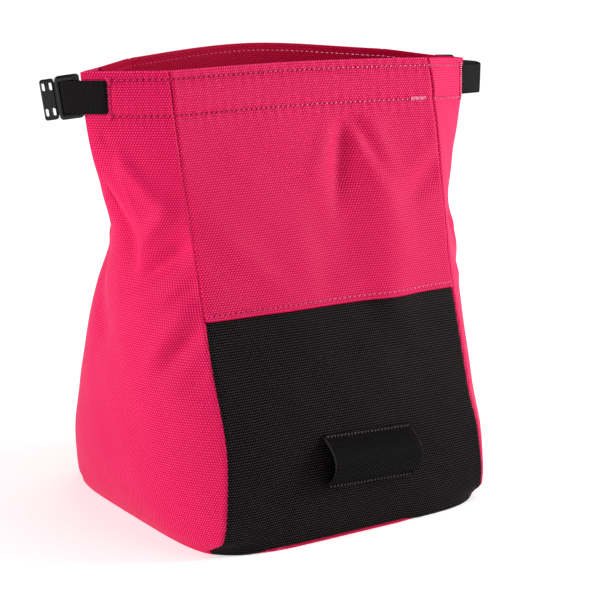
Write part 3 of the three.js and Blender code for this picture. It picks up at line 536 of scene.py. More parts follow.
def tube(line: np.ndarray, flat: np.ndarray, radius: float, sides: int = 10) -> MeshParts:
    """A round cord along a line, with closed ends.

    Each ring is a circle in the plane of the cord's side direction and of the direction that it
    keeps to. The end rings are smaller, and a point closes each.

    Args:
        line: points of the cord's middle.
        flat: direction that the cord's rings keep to, square to the line.
        radius: the cord's radius.
        sides: sides of a ring.

    Returns:
        The cord's mesh.
    """
    end_share, pole_share = 0.6, 0.4
    tangent = unit(np.gradient(line, axis=0))
    side = unit(np.cross(tangent, flat))
    angles = 2 * np.pi * np.arange(sides) / sides
    size = radius * np.ones(len(line))
    size[[0, -1]] *= end_share
    turn = angles[None, :, None]
    ring = side[:, None] * np.cos(turn) + np.asarray(flat) * np.sin(turn)
    reach = radius * pole_share
    poles = np.stack([line[0] - tangent[0] * reach, line[-1] + tangent[-1] * reach])
    round_it = np.tile(angles * radius, len(line))
    uv = np.stack([np.repeat(distance_along(line), sides), round_it], 1)
    rings = line[:, None] + ring * size[:, None, None]
    return capped(rings, poles, np.concatenate([uv, np.zeros((2, 2))]))


@dataclass(frozen=True)
class Finish:
    """A material, with the record's material slot that its pieces belong to."""

    material: bpy.types.Material
    slot: str


def linked(name: str, data: bpy.types.ID) -> bpy.types.Object:
    """A new object, linked to the scene."""
    made = bpy.data.objects.new(name, data)
    bpy.context.scene.collection.objects.link(made)
    return made


def make_object(name: str, parts: MeshParts, finish: Finish, node: str | None = None) -> None:
    """Makes a piece that rides on the bag.

    Args:
        name: name of the piece.
        parts: its mesh.
        finish: its material and slot.
        node: the CAD node that it replaces, if any.
    """
    mesh = bpy.data.meshes.new(name)
    mesh.from_pydata(parts.points.tolist(), [], parts.faces)
    corners = np.zeros(len(mesh.loops), np.int32)
    mesh.loops.foreach_get("vertex_index", corners)
    layer = mesh.uv_layers.new(name=UV_NAME)
    layer.uv.foreach_set("vector", parts.uv[corners].astype(np.float32).ravel())
    mesh.polygons.foreach_set("use_smooth", np.ones(len(mesh.polygons), bool))
    mesh.materials.append(finish.material)
    mesh.update()
    piece = linked(name, mesh)
    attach(piece, "root")
    if node:
        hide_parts(node)
    LOG.info("%s: %d faces", name, len(mesh.polygons))


# Materials


def linear(colour: int) -> tuple[float, float, float, float]:
    """An sRGB hex colour as linear red, green, blue and alpha."""
    channels = [((colour >> shift) & 255) / 255 for shift in (16, 8, 0)]
    bent = [c / 12.92 if c <= 0.04045 else ((c + 0.055) / 1.055) ** 2.4 for c in channels]
    return (bent[0], bent[1], bent[2], 1.0)

def add_node(tree: Tree, kind: str, inputs: dict | None = None, **settings) -> bpy.types.Node:
    """Adds a node with its settings and links.

    Args:
        tree: the material's node tree.
        kind: the node's type.
        inputs: socket name or number to a value, or to the output socket that feeds it.
        settings: the node's own properties.

    Returns:
        The new node.
    """
    made = tree.nodes.new(kind)
    for name, value in settings.items():
        setattr(made, name, value)
    for key, value in (inputs or {}).items():
        socket = made.inputs[key]
        if isinstance(value, Socket):
            tree.links.new(value, socket)
        else:
            socket.default_value = value
    return made


def new_material(name: str) -> tuple[bpy.types.Material, Tree, bpy.types.Node]:
    """A material with only its surface shader, with the tree and that shader."""
    material = bpy.data.materials.new(name)
    material.use_nodes = True
    tree = material.node_tree
    return material, tree, tree.nodes["Principled BSDF"]


def calculate(tree: Tree, operation: str, *values) -> Socket:
    """The result of a math node."""
    inputs = dict(enumerate(values))
    return add_node(tree, "ShaderNodeMath", inputs, operation=operation).outputs[0]


def noise(tree: Tree, place: Socket, scale: float, detail: float = 2.0) -> bpy.types.Node:
    """Noise with about as many features a metre as its scale says."""
    inputs = {"Vector": place, "Scale": scale, "Detail": detail}
    return add_node(tree, "ShaderNodeTexNoise", inputs)


def object_place(tree: Tree) -> Socket:
    """Object coordinates."""
    return add_node(tree, "ShaderNodeTexCoord").outputs["Object"]


def cloth_place(tree: Tree) -> Socket:
    """Cloth coordinates in metres."""
    return add_node(tree, "ShaderNodeUVMap", uv_map=UV_NAME).outputs["UV"]


def product_of_waves(
    tree: Tree, along: float, up: float, jitter: float = 0.0, lines: float = 0.0
) -> Socket:
    """A staggered pattern of dots on the cloth coordinates.

    It is the cosine of the first coordinate times the cosine of the second, so its peaks lie in
    rows, each row moved on by half a step.

    Args:
        tree: the material's node tree.
        along: distance between dots in a row, in metres.
        up: distance between rows, in metres.
        jitter: how far the yarns wander, in radians of the pattern.
        lines: share of the pattern that is even lines along the rows.

    Returns:
        The pattern's socket, from -1 to 1.
    """
    yarn_scale = 260.0
    coordinates = cloth_place(tree)
    place = add_node(
        tree, "ShaderNodeVectorMath", {0: coordinates, 1: (2 * math.pi / along, math.pi / up, 0)},
        operation="MULTIPLY",
    ).outputs["Vector"]
    if jitter:
        colour = noise(tree, coordinates, yarn_scale).outputs["Color"]
        place = add_node(
            tree, "ShaderNodeVectorMath", {0: colour, 1: (jitter, jitter, 0), 2: place},
            operation="MULTIPLY_ADD",
        ).outputs["Vector"]
    parts = add_node(tree, "ShaderNodeSeparateXYZ", {0: place})
    across, upward = (calculate(tree, "COSINE", parts.outputs[axis]) for axis in ("X", "Y"))
    dots = calculate(tree, "MULTIPLY", across, upward)
    if not lines:
        return dots
    square = calculate(tree, "MULTIPLY", upward, upward)
    rows = calculate(tree, "MULTIPLY_ADD", square, 2 * lines, -lines)
    return calculate(tree, "MULTIPLY_ADD", dots, 1 - lines, rows)


def spread(
    tree: Tree, value: Socket, low: float, high: float,
    to_low: float = 0.0, to_high: float = 1.0,
) -> Socket:
    """A value's range from low to high, eased and spread over another range."""
    ranged = add_node(
        tree, "ShaderNodeMapRange",
        {"Value": value, "From Min": low, "From Max": high, "To Min": to_low, "To Max": to_high},
        interpolation_type="SMOOTHSTEP",
    )
    return ranged.outputs["Result"]


def mixed(tree: Tree, share: Socket, low: tuple | Socket, high: tuple | Socket) -> Socket:
    """Two colours mixed by a share."""
    inputs = {"Factor": share, 6: low, 7: high}
    return add_node(tree, "ShaderNodeMix", inputs, data_type="RGBA").outputs[2]


@dataclass(frozen=True)
class Recipe:
    """How a finish is made: a pattern that gives its colour and relief, on an even surface.

    Each kind of finish adds its relief, the relief's strength, its roughness and its gloss.
    """

    name: str
    slot: str
    ground: int
    crest: int

    def build(self) -> Finish:
        """Makes the material."""
        material, tree, surface = new_material(self.name)
        surface.inputs["Roughness"].default_value = self.roughness
        surface.inputs["Specular IOR Level"].default_value = self.gloss
        bump = add_node(
            tree, "ShaderNodeBump", {"Distance": self.relief, "Strength": self.strength}
        )
        colour, height = self.pattern(tree, surface, bump)
        tree.links.new(colour, surface.inputs["Base Color"])
        tree.links.new(height, bump.inputs["Height"])
        tree.links.new(bump.outputs["Normal"], surface.inputs["Normal"])
        return Finish(material, self.slot)

    def two_colours(self, tree: Tree, share: Socket) -> Socket:
        """The ground's and the crest's colours mixed by a share."""
        return mixed(tree, share, linear(self.ground), linear(self.crest))


@dataclass(frozen=True)
class WovenCloth(Recipe):
    """Heavy woven cloth: staggered raised yarns, painted lighter as a highlight on a ground
    painted darker as shade, with a soft sheen.

    The eye gets rows of small bright dots that turn into lines where the cloth is seen aslant.
    """

    dull: int
    sheen: int
    dot_pitch: float = 1.9 * MM
    row_pitch: float = 1.64 * MM
    wander: float = 0.9
    lines: float = 0.3
    fuzz: float = 0.35
    fuzz_scale: float = 900.0
    wear: float = 0.2
    wear_scale: float = 14.0
    relief: float = 0.2 * MM
    strength: float = 1.0
    roughness: float = 0.6
    sheen_weight: float = 0.04
    sheen_roughness: float = 0.45
    gloss: float = 0.09

    def pattern(self, tree: Tree, surface: bpy.types.Node, bump: bpy.types.Node) -> tuple:
        """Colour and height of the yarns, worn dull in broad patches."""
        # painted highlight on the yarn crests and painted shade in the ground between them, over
        # the bump
        dots = product_of_waves(tree, self.dot_pitch, self.row_pitch, self.wander, self.lines)
        share = spread(tree, dots, 0.05, 0.85)
        place = object_place(tree)
        broad = noise(tree, place, self.wear_scale, 3.0).outputs["Fac"]
        worn = spread(tree, broad, 0.35, 0.75, 0.0, self.wear)
        surface.inputs["Sheen Weight"].default_value = self.sheen_weight
        surface.inputs["Sheen Roughness"].default_value = self.sheen_roughness
        surface.inputs["Sheen Tint"].default_value = linear(self.sheen)
        fine = noise(tree, place, self.fuzz_scale).outputs["Fac"]
        return (
            mixed(tree, worn, self.two_colours(tree, share), linear(self.dull)),
            calculate(tree, "MULTIPLY_ADD", fine, self.fuzz, share),
        )


@dataclass(frozen=True)
class RibbedWebbing(Recipe):
    """Ribbed webbing: fine cords run across it, with a dull black sheen painted as a lighter
    colour on the cords' crests.
    """

    rib_pitch: float = 1.2 * MM
    rib_length: float = 400 * MM
    yarn_length: float = 2.4 * MM
    yarn_pitch: float = 0.55 * MM
    yarn_share: float = 0.15
    relief: float = 0.3 * MM
    strength: float = 0.9
    roughness: float = 0.6
    gloss: float = 0.08

    def pattern(self, tree: Tree, surface: bpy.types.Node, bump: bpy.types.Node) -> tuple:
        """Colour and height of the cords, with finer yarns over them."""
        ribs = product_of_waves(tree, self.rib_pitch, self.rib_length, 0.5)
        # painted sheen on the cord crests, painted shade between them
        share = spread(tree, ribs, -0.8, 0.9)
        yarns = product_of_waves(tree, self.yarn_length, self.yarn_pitch, 0.4)
        height = calculate(tree, "MULTIPLY_ADD", yarns, self.yarn_share, share)
        return self.two_colours(tree, share), height


@dataclass(frozen=True)
class TwillTape(Recipe):
    """Black twill of the brush loop: slanted fine ribs that catch a grey light."""

    rib_pitch: float = 2.0 * MM
    slant: float = 0.75
    relief: float = 0.28 * MM
    strength: float = 1.0
    roughness: float = 0.65
    gloss: float = 0.03

    def pattern(self, tree: Tree, surface: bpy.types.Node, bump: bpy.types.Node) -> tuple:
        """Colour and height of the slanted ribs."""
        slanted = add_node(
            tree, "ShaderNodeVectorMath", {0: cloth_place(tree), 1: (1.0, self.slant, 0)},
            operation="DOT_PRODUCT",
        ).outputs["Value"]
        turned = calculate(tree, "MULTIPLY", slanted, 2 * math.pi / self.rib_pitch)
        share = spread(tree, calculate(tree, "COSINE", turned), -0.2, 1.0)
        return self.two_colours(tree, share), share


@dataclass(frozen=True)
class MouldedPlastic(Recipe):
    """Satin black plastic: even and slightly glossy, with a faint moulded grain."""

    grain_scale: float = 1500.0
    cloud_scale: float = 120.0
    edge_radius: float = 0.45 * MM
    roughest: float = 0.38
    relief: float = 0.03 * MM
    strength: float = 0.5
    roughness: float = 0.28
    gloss: float = 0.3

    def pattern(self, tree: Tree, surface: bpy.types.Node, bump: bpy.types.Node) -> tuple:
        """Mottled colour and fine grain, with uneven gloss and softened edges."""
        place = object_place(tree)
        cloud = noise(tree, place, self.cloud_scale).outputs["Fac"]
        rough = spread(tree, cloud, 0.3, 0.7, self.roughness, self.roughest)
        tree.links.new(rough, surface.inputs["Roughness"])
        edge = add_node(tree, "ShaderNodeBevel", {"Radius": self.edge_radius}, samples=6)
        tree.links.new(edge.outputs["Normal"], bump.inputs["Normal"])
        grain = noise(tree, place, self.grain_scale).outputs["Fac"]
        return self.two_colours(tree, cloud), grain


@dataclass(frozen=True)
class Thread(Recipe):
    """Sewing thread: two plies wound round each other, lighter than the cloth.

    A thread given a third, lighter colour pales towards the right of the bag: a painted highlight
    of the light from the right.
    """

    highlight_colour: int | None = None
    ply_pitch: float = 0.5 * MM
    ply_rise: float = 1.6 * MM
    relief: float = 0.06 * MM
    strength: float = 0.8
    roughness: float = 0.6
    gloss: float = 0.1

    def pattern(self, tree: Tree, surface: bpy.types.Node, bump: bpy.types.Node) -> tuple:
        """Colour and height of the plies."""
        # the ground colour between the plies is painted shade, the crest colour a painted
        # highlight on them
        share = spread(tree, product_of_waves(tree, self.ply_pitch, self.ply_rise), -0.8, 0.8)
        wound = self.two_colours(tree, share)
        # painted highlight: the thread's colour pales towards the right of the bag, where the
        # right light falls
        if self.highlight_colour is not None:
            along = add_node(tree, "ShaderNodeSeparateXYZ", {0: object_place(tree)}).outputs["X"]
            highlight_share = spread(tree, along, -90 * MM, 110 * MM)
            wound = mixed(tree, highlight_share, wound, linear(self.highlight_colour))
        return wound, share


@dataclass
class Finishes:
    """All the finishes of the bag, made once."""

    def __post_init__(self) -> None:
        """Makes the materials."""
        self.pink = WovenCloth(
            "pink woven polyester", "pink_cloth", 0xBC0040, 0xFF4686, 0xD00A4C, 0xFF8CB4
        ).build()
        # darker copy of the pink cloth for the hems: partly the cloth's duller back, partly
        # painted shade inside the mouth
        self.shaded_lining = WovenCloth(
            "pink cloth back in painted shade", "dark_pink_cloth", 0xA8002C, 0xDC1048, 0xB40034, 0xC04060,
            sheen_weight=0.0, gloss=0.05,
        ).build()
        self.black = WovenCloth(
            "black woven polyester", "black_cloth", 0x010101, 0x403838, 0x0E0B0B, 0x6A6062,
            dot_pitch=1.74 * MM, row_pitch=1.72 * MM, lines=0.5, sheen_weight=0.0, gloss=0.04,
        ).build()
        self.webbing = RibbedWebbing(
            "black ribbed webbing", "black_webbing", 0x020102, 0x161213
        ).build()
        self.twill = TwillTape("black twill tape", "black_cloth", 0x000000, 0x221F20).build()
        self.plastic = MouldedPlastic(
            "satin black plastic", "black_plastic", 0x030303, 0x070607
        ).build()
        self.pink_thread, self.grey_thread, self.cut_edge, self.hole = (
            Thread(*row).build()
            for row in (
                # the light pink thread's last colour is its painted highlight towards the right
                ("light pink thread", "pink_cloth", 0xB81C54, 0xEC4A82, 0xFF9CC0),
                ("grey thread", "black_cloth", 0x3A3536, 0x6E6667),
                # the cut edge's lighter colour is a painted highlight
                ("painted highlight on the black tape's cut edge", "black_cloth", 0x151213, 0x2C2829),
                # a needle hole's dark colour is painted shade
                ("painted shade in a needle hole", "dark_pink_cloth", 0x2A000C, 0x4C0018),
            )
        )


# Stitches


@dataclass
class StitchRow:
    """A row of small stitches along a line on the cloth, joined into one mesh."""

    pitch: float = 3.9 * MM
    length: float = 2.7 * MM
    radius: float = 0.3 * MM
    slant: float = 0.0
    sink: float = 0.45 * MM
    sides: int = 6

    def build(self, line: np.ndarray, normals: np.ndarray) -> MeshParts:
        """Lays a capsule at even steps along a line.

        The capsule's radius follows a rounded profile along its length, and its middle stands up
        from the cloth while both ends sink into it.

        Args:
            line: points of the line.
            normals: the cloth's outward normal at each of them.

        Returns:
            The mesh of all the stitches.
        """
        whole = distance_along(line)[-1]
        count = max(1, int(whole / self.pitch))
        at = (np.arange(count) + 0.5) * whole / count
        step = 0.2 * MM
        centre = values_at(line, line, at)
        tangent = unit(values_at(line, line, at + step) - values_at(line, line, at - step))
        normal = values_at(line, normals, at)
        normal = unit(normal - tangent * (normal * tangent).sum(1, keepdims=True))
        side = np.cross(normal, tangent)
        turned = tangent * math.cos(self.slant) + side * math.sin(self.slant)
        side = np.cross(normal, turned)
        shares = np.array([-0.9, -0.5, 0.0, 0.5, 0.9])
        angles = 2 * np.pi * np.arange(self.sides) / self.sides
        profile = ((1 - shares**4) ** 0.5)[:, None]
        ring_s = np.concatenate([[-1.0], np.repeat(shares, self.sides), [1.0]])
        ring_c, ring_b = (
            np.concatenate([[0], (profile * circle(angles)).ravel(), [0]]) * self.radius
            for circle in (np.cos, np.sin)
        )
        lift = self.radius * 0.5 - self.sink * ring_s**2
        points = (
            centre[:, None]
            + turned[:, None] * (ring_s * self.length / 2)[None, :, None]
            + normal[:, None] * (ring_c + lift)[None, :, None]
            + side[:, None] * ring_b[None, :, None]
        )
        each = len(ring_s)
        ring = np.arange(self.sides)
        following = (ring + 1) % self.sides
        faces = []
        for row in range(len(shares) - 1):
            low, high = 1 + row * self.sides, 1 + (row + 1) * self.sides
            corners = [low + ring, high + ring, high + following, low + following]
            faces += np.stack(corners, 1).tolist()
        top = 1 + (len(shares) - 1) * self.sides
        faces += np.stack([np.zeros_like(ring), 1 + ring, 1 + following], 1).tolist()
        faces += np.stack([np.full_like(ring, each - 1), top + following, top + ring], 1).tolist()
        shift = each * np.arange(count)
        all_faces = [
            tuple(index + move for index in face) for move in shift.tolist() for face in faces
        ]
        ply = np.stack([ring_s * self.length / 2, np.arctan2(ring_b, ring_c) * self.radius], 1)
        return MeshParts(points.reshape(-1, 3), all_faces, np.tile(ply, (count, 1)))


def cloth_line(
    place: np.ndarray, distance: np.ndarray | float, offset: float
) -> tuple[np.ndarray, np.ndarray]:
    """A line on the cloth at a distance below the rim, with its normals.

    Args:
        place: places round the bag along the line.
        distance: distance below the rim, one number or one for each place.
        offset: how far the line stands off the cloth's outer face. Negative lies inside.

    Returns:
        The line's points and the normals, which point away from the cloth's middle.
    """
    line = FORM.below_rim(place, np.broadcast_to(distance, place.shape), offset)
    outside = FORM.below_rim(place, np.broadcast_to(distance, place.shape), offset + 1 * MM)
    normals = (outside - line) * (1 if offset > -WALL / 2 else -1)
    return line, unit(normals)


# Pieces of the bag


def base_shown(place: np.ndarray) -> np.ndarray:
    """Share by which the base shows below the wall: 1 along the middle of the front, else 0."""
    return smooth_step(place, 0.08, 0.2) * smooth_step(0.72 - place, 0, 0.1)


@dataclass
class ClothPanels:
    """The wall of the bag: front in two colours, back, two gussets, and the base."""

    spacing: float = 1.7 * MM
    seam_inset: float = 0.75 * MM
    seam_depth: float = 1.5 * MM
    seam_width: float = 1.5 * MM
    fine_edge: float = 4 * MM
    fold_thinning: float = 0.8
    lap_lift: float = 0.8 * MM
    lap_sink: float = 1.1 * MM
    lap_reach: float = 12 * MM
    rim_gap: float = 0.5 * MM
    tuck: float = 3.5 * MM
    pillow: float = 1.1 * MM
    groove: float = 0.55 * MM
    groove_width: float = 1.6 * MM
    pucker: float = 0.22 * MM
    pucker_pitch: float = 7.8 * MM
    pucker_span: float = 210 * MM
    pucker_shift: float = 900.0
    pucker_reach: float = 5.0
    casing_start: float = 0.345
    casing_end: float = 1.435
    casing_ease: float = 0.05
    wander: float = 0.45 * MM
    foot_drop: float = 1.5 * MM
    base_tuck: float = 1.6 * MM
    gusset_ease: float = 1.12
    gusset_weave: tuple = (1.1, 1.0)
    fine_steps: int = 9

    def relief(self, place: np.ndarray, rise: np.ndarray) -> np.ndarray:
        """Small relief of the outer face.

        It is the sum of the casing's pillow between its two rows of stitches, the groove at each
        row, short puckers along the rows, and slow waves over the whole cloth.

        Args:
            place: place round the bag of each point.
            rise: share of the height of each point.

        Returns:
            How far each point moves outwards, in metres.
        """
        below = FORM.height(place, np.ones_like(rise)) - FORM.height(place, rise)
        share = (below - CASING_TOP) / (CASING_LOW - CASING_TOP)
        swell = self.pillow * np.clip(1 - np.abs(2 * share - 1) ** 3, 0, 1)
        from_left = (place + 2) % 4 - 2
        casing = smooth_step(from_left, -self.casing_start, self.casing_ease - self.casing_start)
        casing = casing * smooth_step(self.casing_end - from_left, 0, self.casing_ease)
        turns = place * self.pucker_span * 2 * np.pi / self.pucker_pitch
        for row in (CASING_TOP, CASING_LOW):
            off = (below - row) / self.groove_width
            close = np.exp(-((off / self.pucker_reach) ** 2))
            swell = swell + self.pucker * close * np.sin(turns + row * self.pucker_shift)
            swell = swell - self.groove * np.exp(-(off**2))
        slow = sum(
            size * np.sin(place * around + rise * up + start)
            for size, around, up, start in SLOW_WAVES
        )
        calm = smooth_step(rise, 0, 0.1) * smooth_step(0.93 - rise, 0, 0.08)
        return swell * casing + self.wander * slow * calm / 2

    def lifted(self, rise: np.ndarray) -> np.ndarray:
        """How far the upper front stands out where it laps over the lower one."""
        fade = self.lap_reach / RIM_HEIGHT
        return self.lap_lift * (1 - smooth_step(rise - SPLIT_SHARE, 0, fade))

    def tucked(self, rise: np.ndarray) -> np.ndarray:
        """How far the lower front goes in under the upper one."""
        return -self.lap_sink * smooth_step(rise - SPLIT_SHARE, -self.lap_reach / RIM_HEIGHT, 0)

    def wall_grid(self, side: Side, low: float, high: float, offset=None) -> Grid:
        """Grid of a wall panel's outer face between two shares of the height.

        Args:
            side: which side of the bag.
            low: share of the height of the lower edge.
            high: share of the height of the upper edge.
            offset: function of the share of the height that gives an extra move outwards.

        Returns:
            The grid, with rows from the lower edge to the upper one.
        """
        width = FORM.side_widths[side.value] * (self.gusset_ease if side in GUSSETS else 1.0)
        fine = np.linspace(self.seam_inset, self.fine_edge, self.fine_steps)
        middle = np.arange(self.fine_edge + self.spacing, width - self.fine_edge, self.spacing)
        across = np.concatenate([fine, middle, width - fine[::-1]]) / width
        rows = int((high - low) * RIM_HEIGHT / self.spacing)
        place, level = np.meshgrid(side.value + across, np.linspace(0, 1, rows))
        foot = low - self.foot_drop / RIM_HEIGHT * (1 - base_shown(place)) * (low == 0)
        level = foot + (high - foot) * level
        to_seam = np.minimum(across, 1 - across)[None] * width
        sunk = self.seam_depth * np.exp(-((to_seam / self.seam_width) ** 2))
        push = self.relief(place, level) - sunk
        if offset is not None:
            push = push + offset(level)
        return FORM.cloth(place, level, push)

    def build(self, finishes: Finishes) -> None:
        """Makes all the panels."""
        pink, black = finishes.pink, finishes.black
        rim = 1 - self.rim_gap / RIM_HEIGHT
        lap = SPLIT_SHARE + self.tuck / RIM_HEIGHT
        panels = (
            ("front_upper_cloth", "front_upper_panel", Side.FRONT, SPLIT_SHARE, rim, pink),
            ("front_lower_cloth", "front_lower_panel", Side.FRONT, 0.0, lap, black),
            ("back_cloth", "back_panel", Side.BACK, 0.0, rim, pink),
            ("left_gusset_cloth", "left_gusset", Side.LEFT, 0.0, rim, pink),
            ("right_gusset_cloth", "right_gusset", Side.RIGHT, 0.0, rim, pink),
        )
        offsets = {"front_upper_panel": self.lifted, "front_lower_panel": self.tucked}
        for name, node, side, bottom, top, finish in panels:
            outer = self.wall_grid(side, bottom, top, offsets.get(node))
            wall = WALL * np.ones(outer.shape[:2])
            uv = cloth_uv(outer)
            if side in GUSSETS:
                sharp = smooth_step(np.linspace(bottom, top, len(outer)), 0.6, 0.85)[:, None]
                near = np.exp(-((lengths_along(outer, 1) / self.fine_edge) ** 2))
                wall *= 1 - self.fold_thinning * sharp * near
                uv = uv * self.gusset_weave
            make_object(name, shell(outer, shifted(outer, -wall), uv), finish, node)
        self.build_base(finishes)

    def build_base(self, finishes: Finishes) -> None:
        """Makes the base: rings scaled towards its middle, closed by a point on each face."""
        place = np.linspace(0, 4, 480, endpoint=False)
        foot = FORM.cloth(place, np.zeros_like(place))[None]
        closed = np.concatenate([foot[:, -1:], foot, foot[:, :1]], 1)
        tuck = np.concatenate([[0], self.base_tuck * (1 - base_shown(place)), [0]])
        centre = foot[0].mean(0)
        edge = []
        for out, up in BASE_EDGE:
            ring = shifted(closed, (out * MM - tuck)[None])[0, 1:-1]
            ring[:, 2] = up * MM
            edge.append(ring)
        shares = np.linspace(0.96, 0.02, 24)[:, None, None]
        faces = []
        for ring in (edge[0], edge[-1]):
            face = centre + (ring - centre) * shares
            face[..., 2] = ring[0, 2]
            faces.append(face)
        rings = np.concatenate([faces[0][::-1], edge, faces[1]])
        poles = np.array([[centre[0], centre[1], ring[0, 2]] for ring in (edge[0], edge[-1])])
        uv = np.concatenate([rings.reshape(-1, 3), poles])[:, :2]
        make_object("base_cloth", capped(rings, poles, uv), finishes.pink, "base_panel")


@dataclass
class Hems:
    """The folded hem inside the mouth: one band in front and one behind, with stitches."""

    seat: float = 0.4 * MM
    cloth: float = 1.2 * MM
    strap_room: float = 2.5 * MM
    strap_room: float = 2.5 * MM
    back_room: float = 0.3 * MM
    rim_gap: float = 0.5 * MM
    pillow_top: float = 4 * MM
    pillow_low: float = 2 * MM
    depth: float = 29.5 * MM
    front_from: float = 33.9 * MM
    front_to: float = 44.4 * MM
    back_share: float = 0.31
    stitch_rows: tuple = (5.0 * MM, 27.5 * MM)

    def band(self, place: np.ndarray, room: float) -> MeshParts:
        """A band that lies on the wall along its two stitched edges and stands off between them.

        Args:
            place: places round the bag along the band.
            room: how far it stands off the wall in the middle.

        Returns:
            The band's closed mesh.
        """
        below = np.linspace(self.depth, self.rim_gap, 22)
        share = (below - self.pillow_top) / (self.depth - self.pillow_top - self.pillow_low)
        stand = self.seat + room * np.clip(1 - np.abs(2 * share - 1) ** 4, 0, 1)
        rows = FORM.below_rim(place[None], below[:, None])
        outer = shifted(rows, -(WALL + stand[:, None]))
        inner = shifted(rows, -(WALL + stand[:, None] + self.cloth))
        return shell(outer, inner, cloth_uv(outer))

    def build(self, finishes: Finishes) -> None:
        """Makes both bands and the stitches on the back one."""
        ends = (-self.front_from / GUSSET_SPAN, 1 + self.front_to / GUSSET_SPAN)
        # the hems' darker pink is partly painted shade of the inside of the mouth
        front = self.band(np.linspace(*ends, 180), self.strap_room)
        make_object("front_hem", front, finishes.shaded_lining, "front_casing")
        run = np.linspace(2 - self.back_share, 3 + self.back_share, 190)
        make_object("back_hem", self.band(run, self.back_room), finishes.shaded_lining, "back_casing")
        inside = -(WALL + self.seat + self.cloth + 0.1 * MM)
        rows = [StitchRow().build(*cloth_line(run, below, inside)) for below in self.stitch_rows]
        make_object("back_hem_stitches", joined(rows), finishes.pink_thread)


@dataclass
class Stitching:
    """Stitches of the casing and of the colour boundary, with painted shade in their needle holes.
    """

    boundary_above: float = 3.2 * MM
    pitch: float = 3.9 * MM
    slant: float = 0.25
    left_end: float = 39.0 * MM
    right_end: float = 50.0 * MM
    back_share: float = 0.3
    seam_gap: float = 0.012
    stand_off: float = 0.35 * MM
    lap_stand_off: float = 0.9 * MM
    tack_ends: tuple = (0.905, 0.965)
    tack_below: float = 27.4 * MM

    def build(self, finishes: Finishes) -> None:
        """Makes the stitches as one mesh, and the painted shade of the needle holes as another."""
        run = np.linspace(-self.left_end / GUSSET_SPAN, 1 + self.right_end / GUSSET_SPAN, 400)
        behind = np.linspace(2 - self.back_share, 3 + self.back_share, 380)
        across = np.linspace(self.seam_gap, 1 - self.seam_gap, 300)
        level = np.full_like(across, SPLIT_SHARE + self.boundary_above / HEIGHT_SPAN)
        seam = FORM.cloth(across, level, self.lap_stand_off)
        outside = FORM.cloth(across, level, self.lap_stand_off + 1 * MM)
        front, back = (
            [cloth_line(place, below, self.stand_off) for below in (CASING_TOP, CASING_LOW)]
            for place in (run, behind)
        )
        lines = [*front, (seam, outside - seam), *back]
        stitch = StitchRow(pitch=self.pitch, slant=self.slant)
        # dark capsules between the stitches: painted shade in the needle holes
        hole = StitchRow(pitch=self.pitch, length=1.1 * MM, radius=0.4 * MM, sink=0.2 * MM)
        threads = [stitch.build(*line) for line in lines] + [self.backtack()]
        holes = [hole.build(self.between(line), normals) for line, normals in lines]
        make_object("casing_stitches", joined(threads), finishes.pink_thread)
        make_object("needle_hole_shade", joined(holes), finishes.hole)

    def between(self, line: np.ndarray) -> np.ndarray:
        """The line moved on by half a stitch."""
        along = distance_along(line)
        return values_at(line, line, np.clip(along + self.pitch / 2, 0, along[-1]))

    def backtack(self) -> MeshParts:
        """A short run of dense slanted stitches on the lower row near the right seam."""
        stitch = StitchRow(pitch=1.0 * MM, length=3.2 * MM, slant=1.2)
        place = np.linspace(*self.tack_ends, 30)
        return stitch.build(*cloth_line(place, self.tack_below, 0.4 * MM))


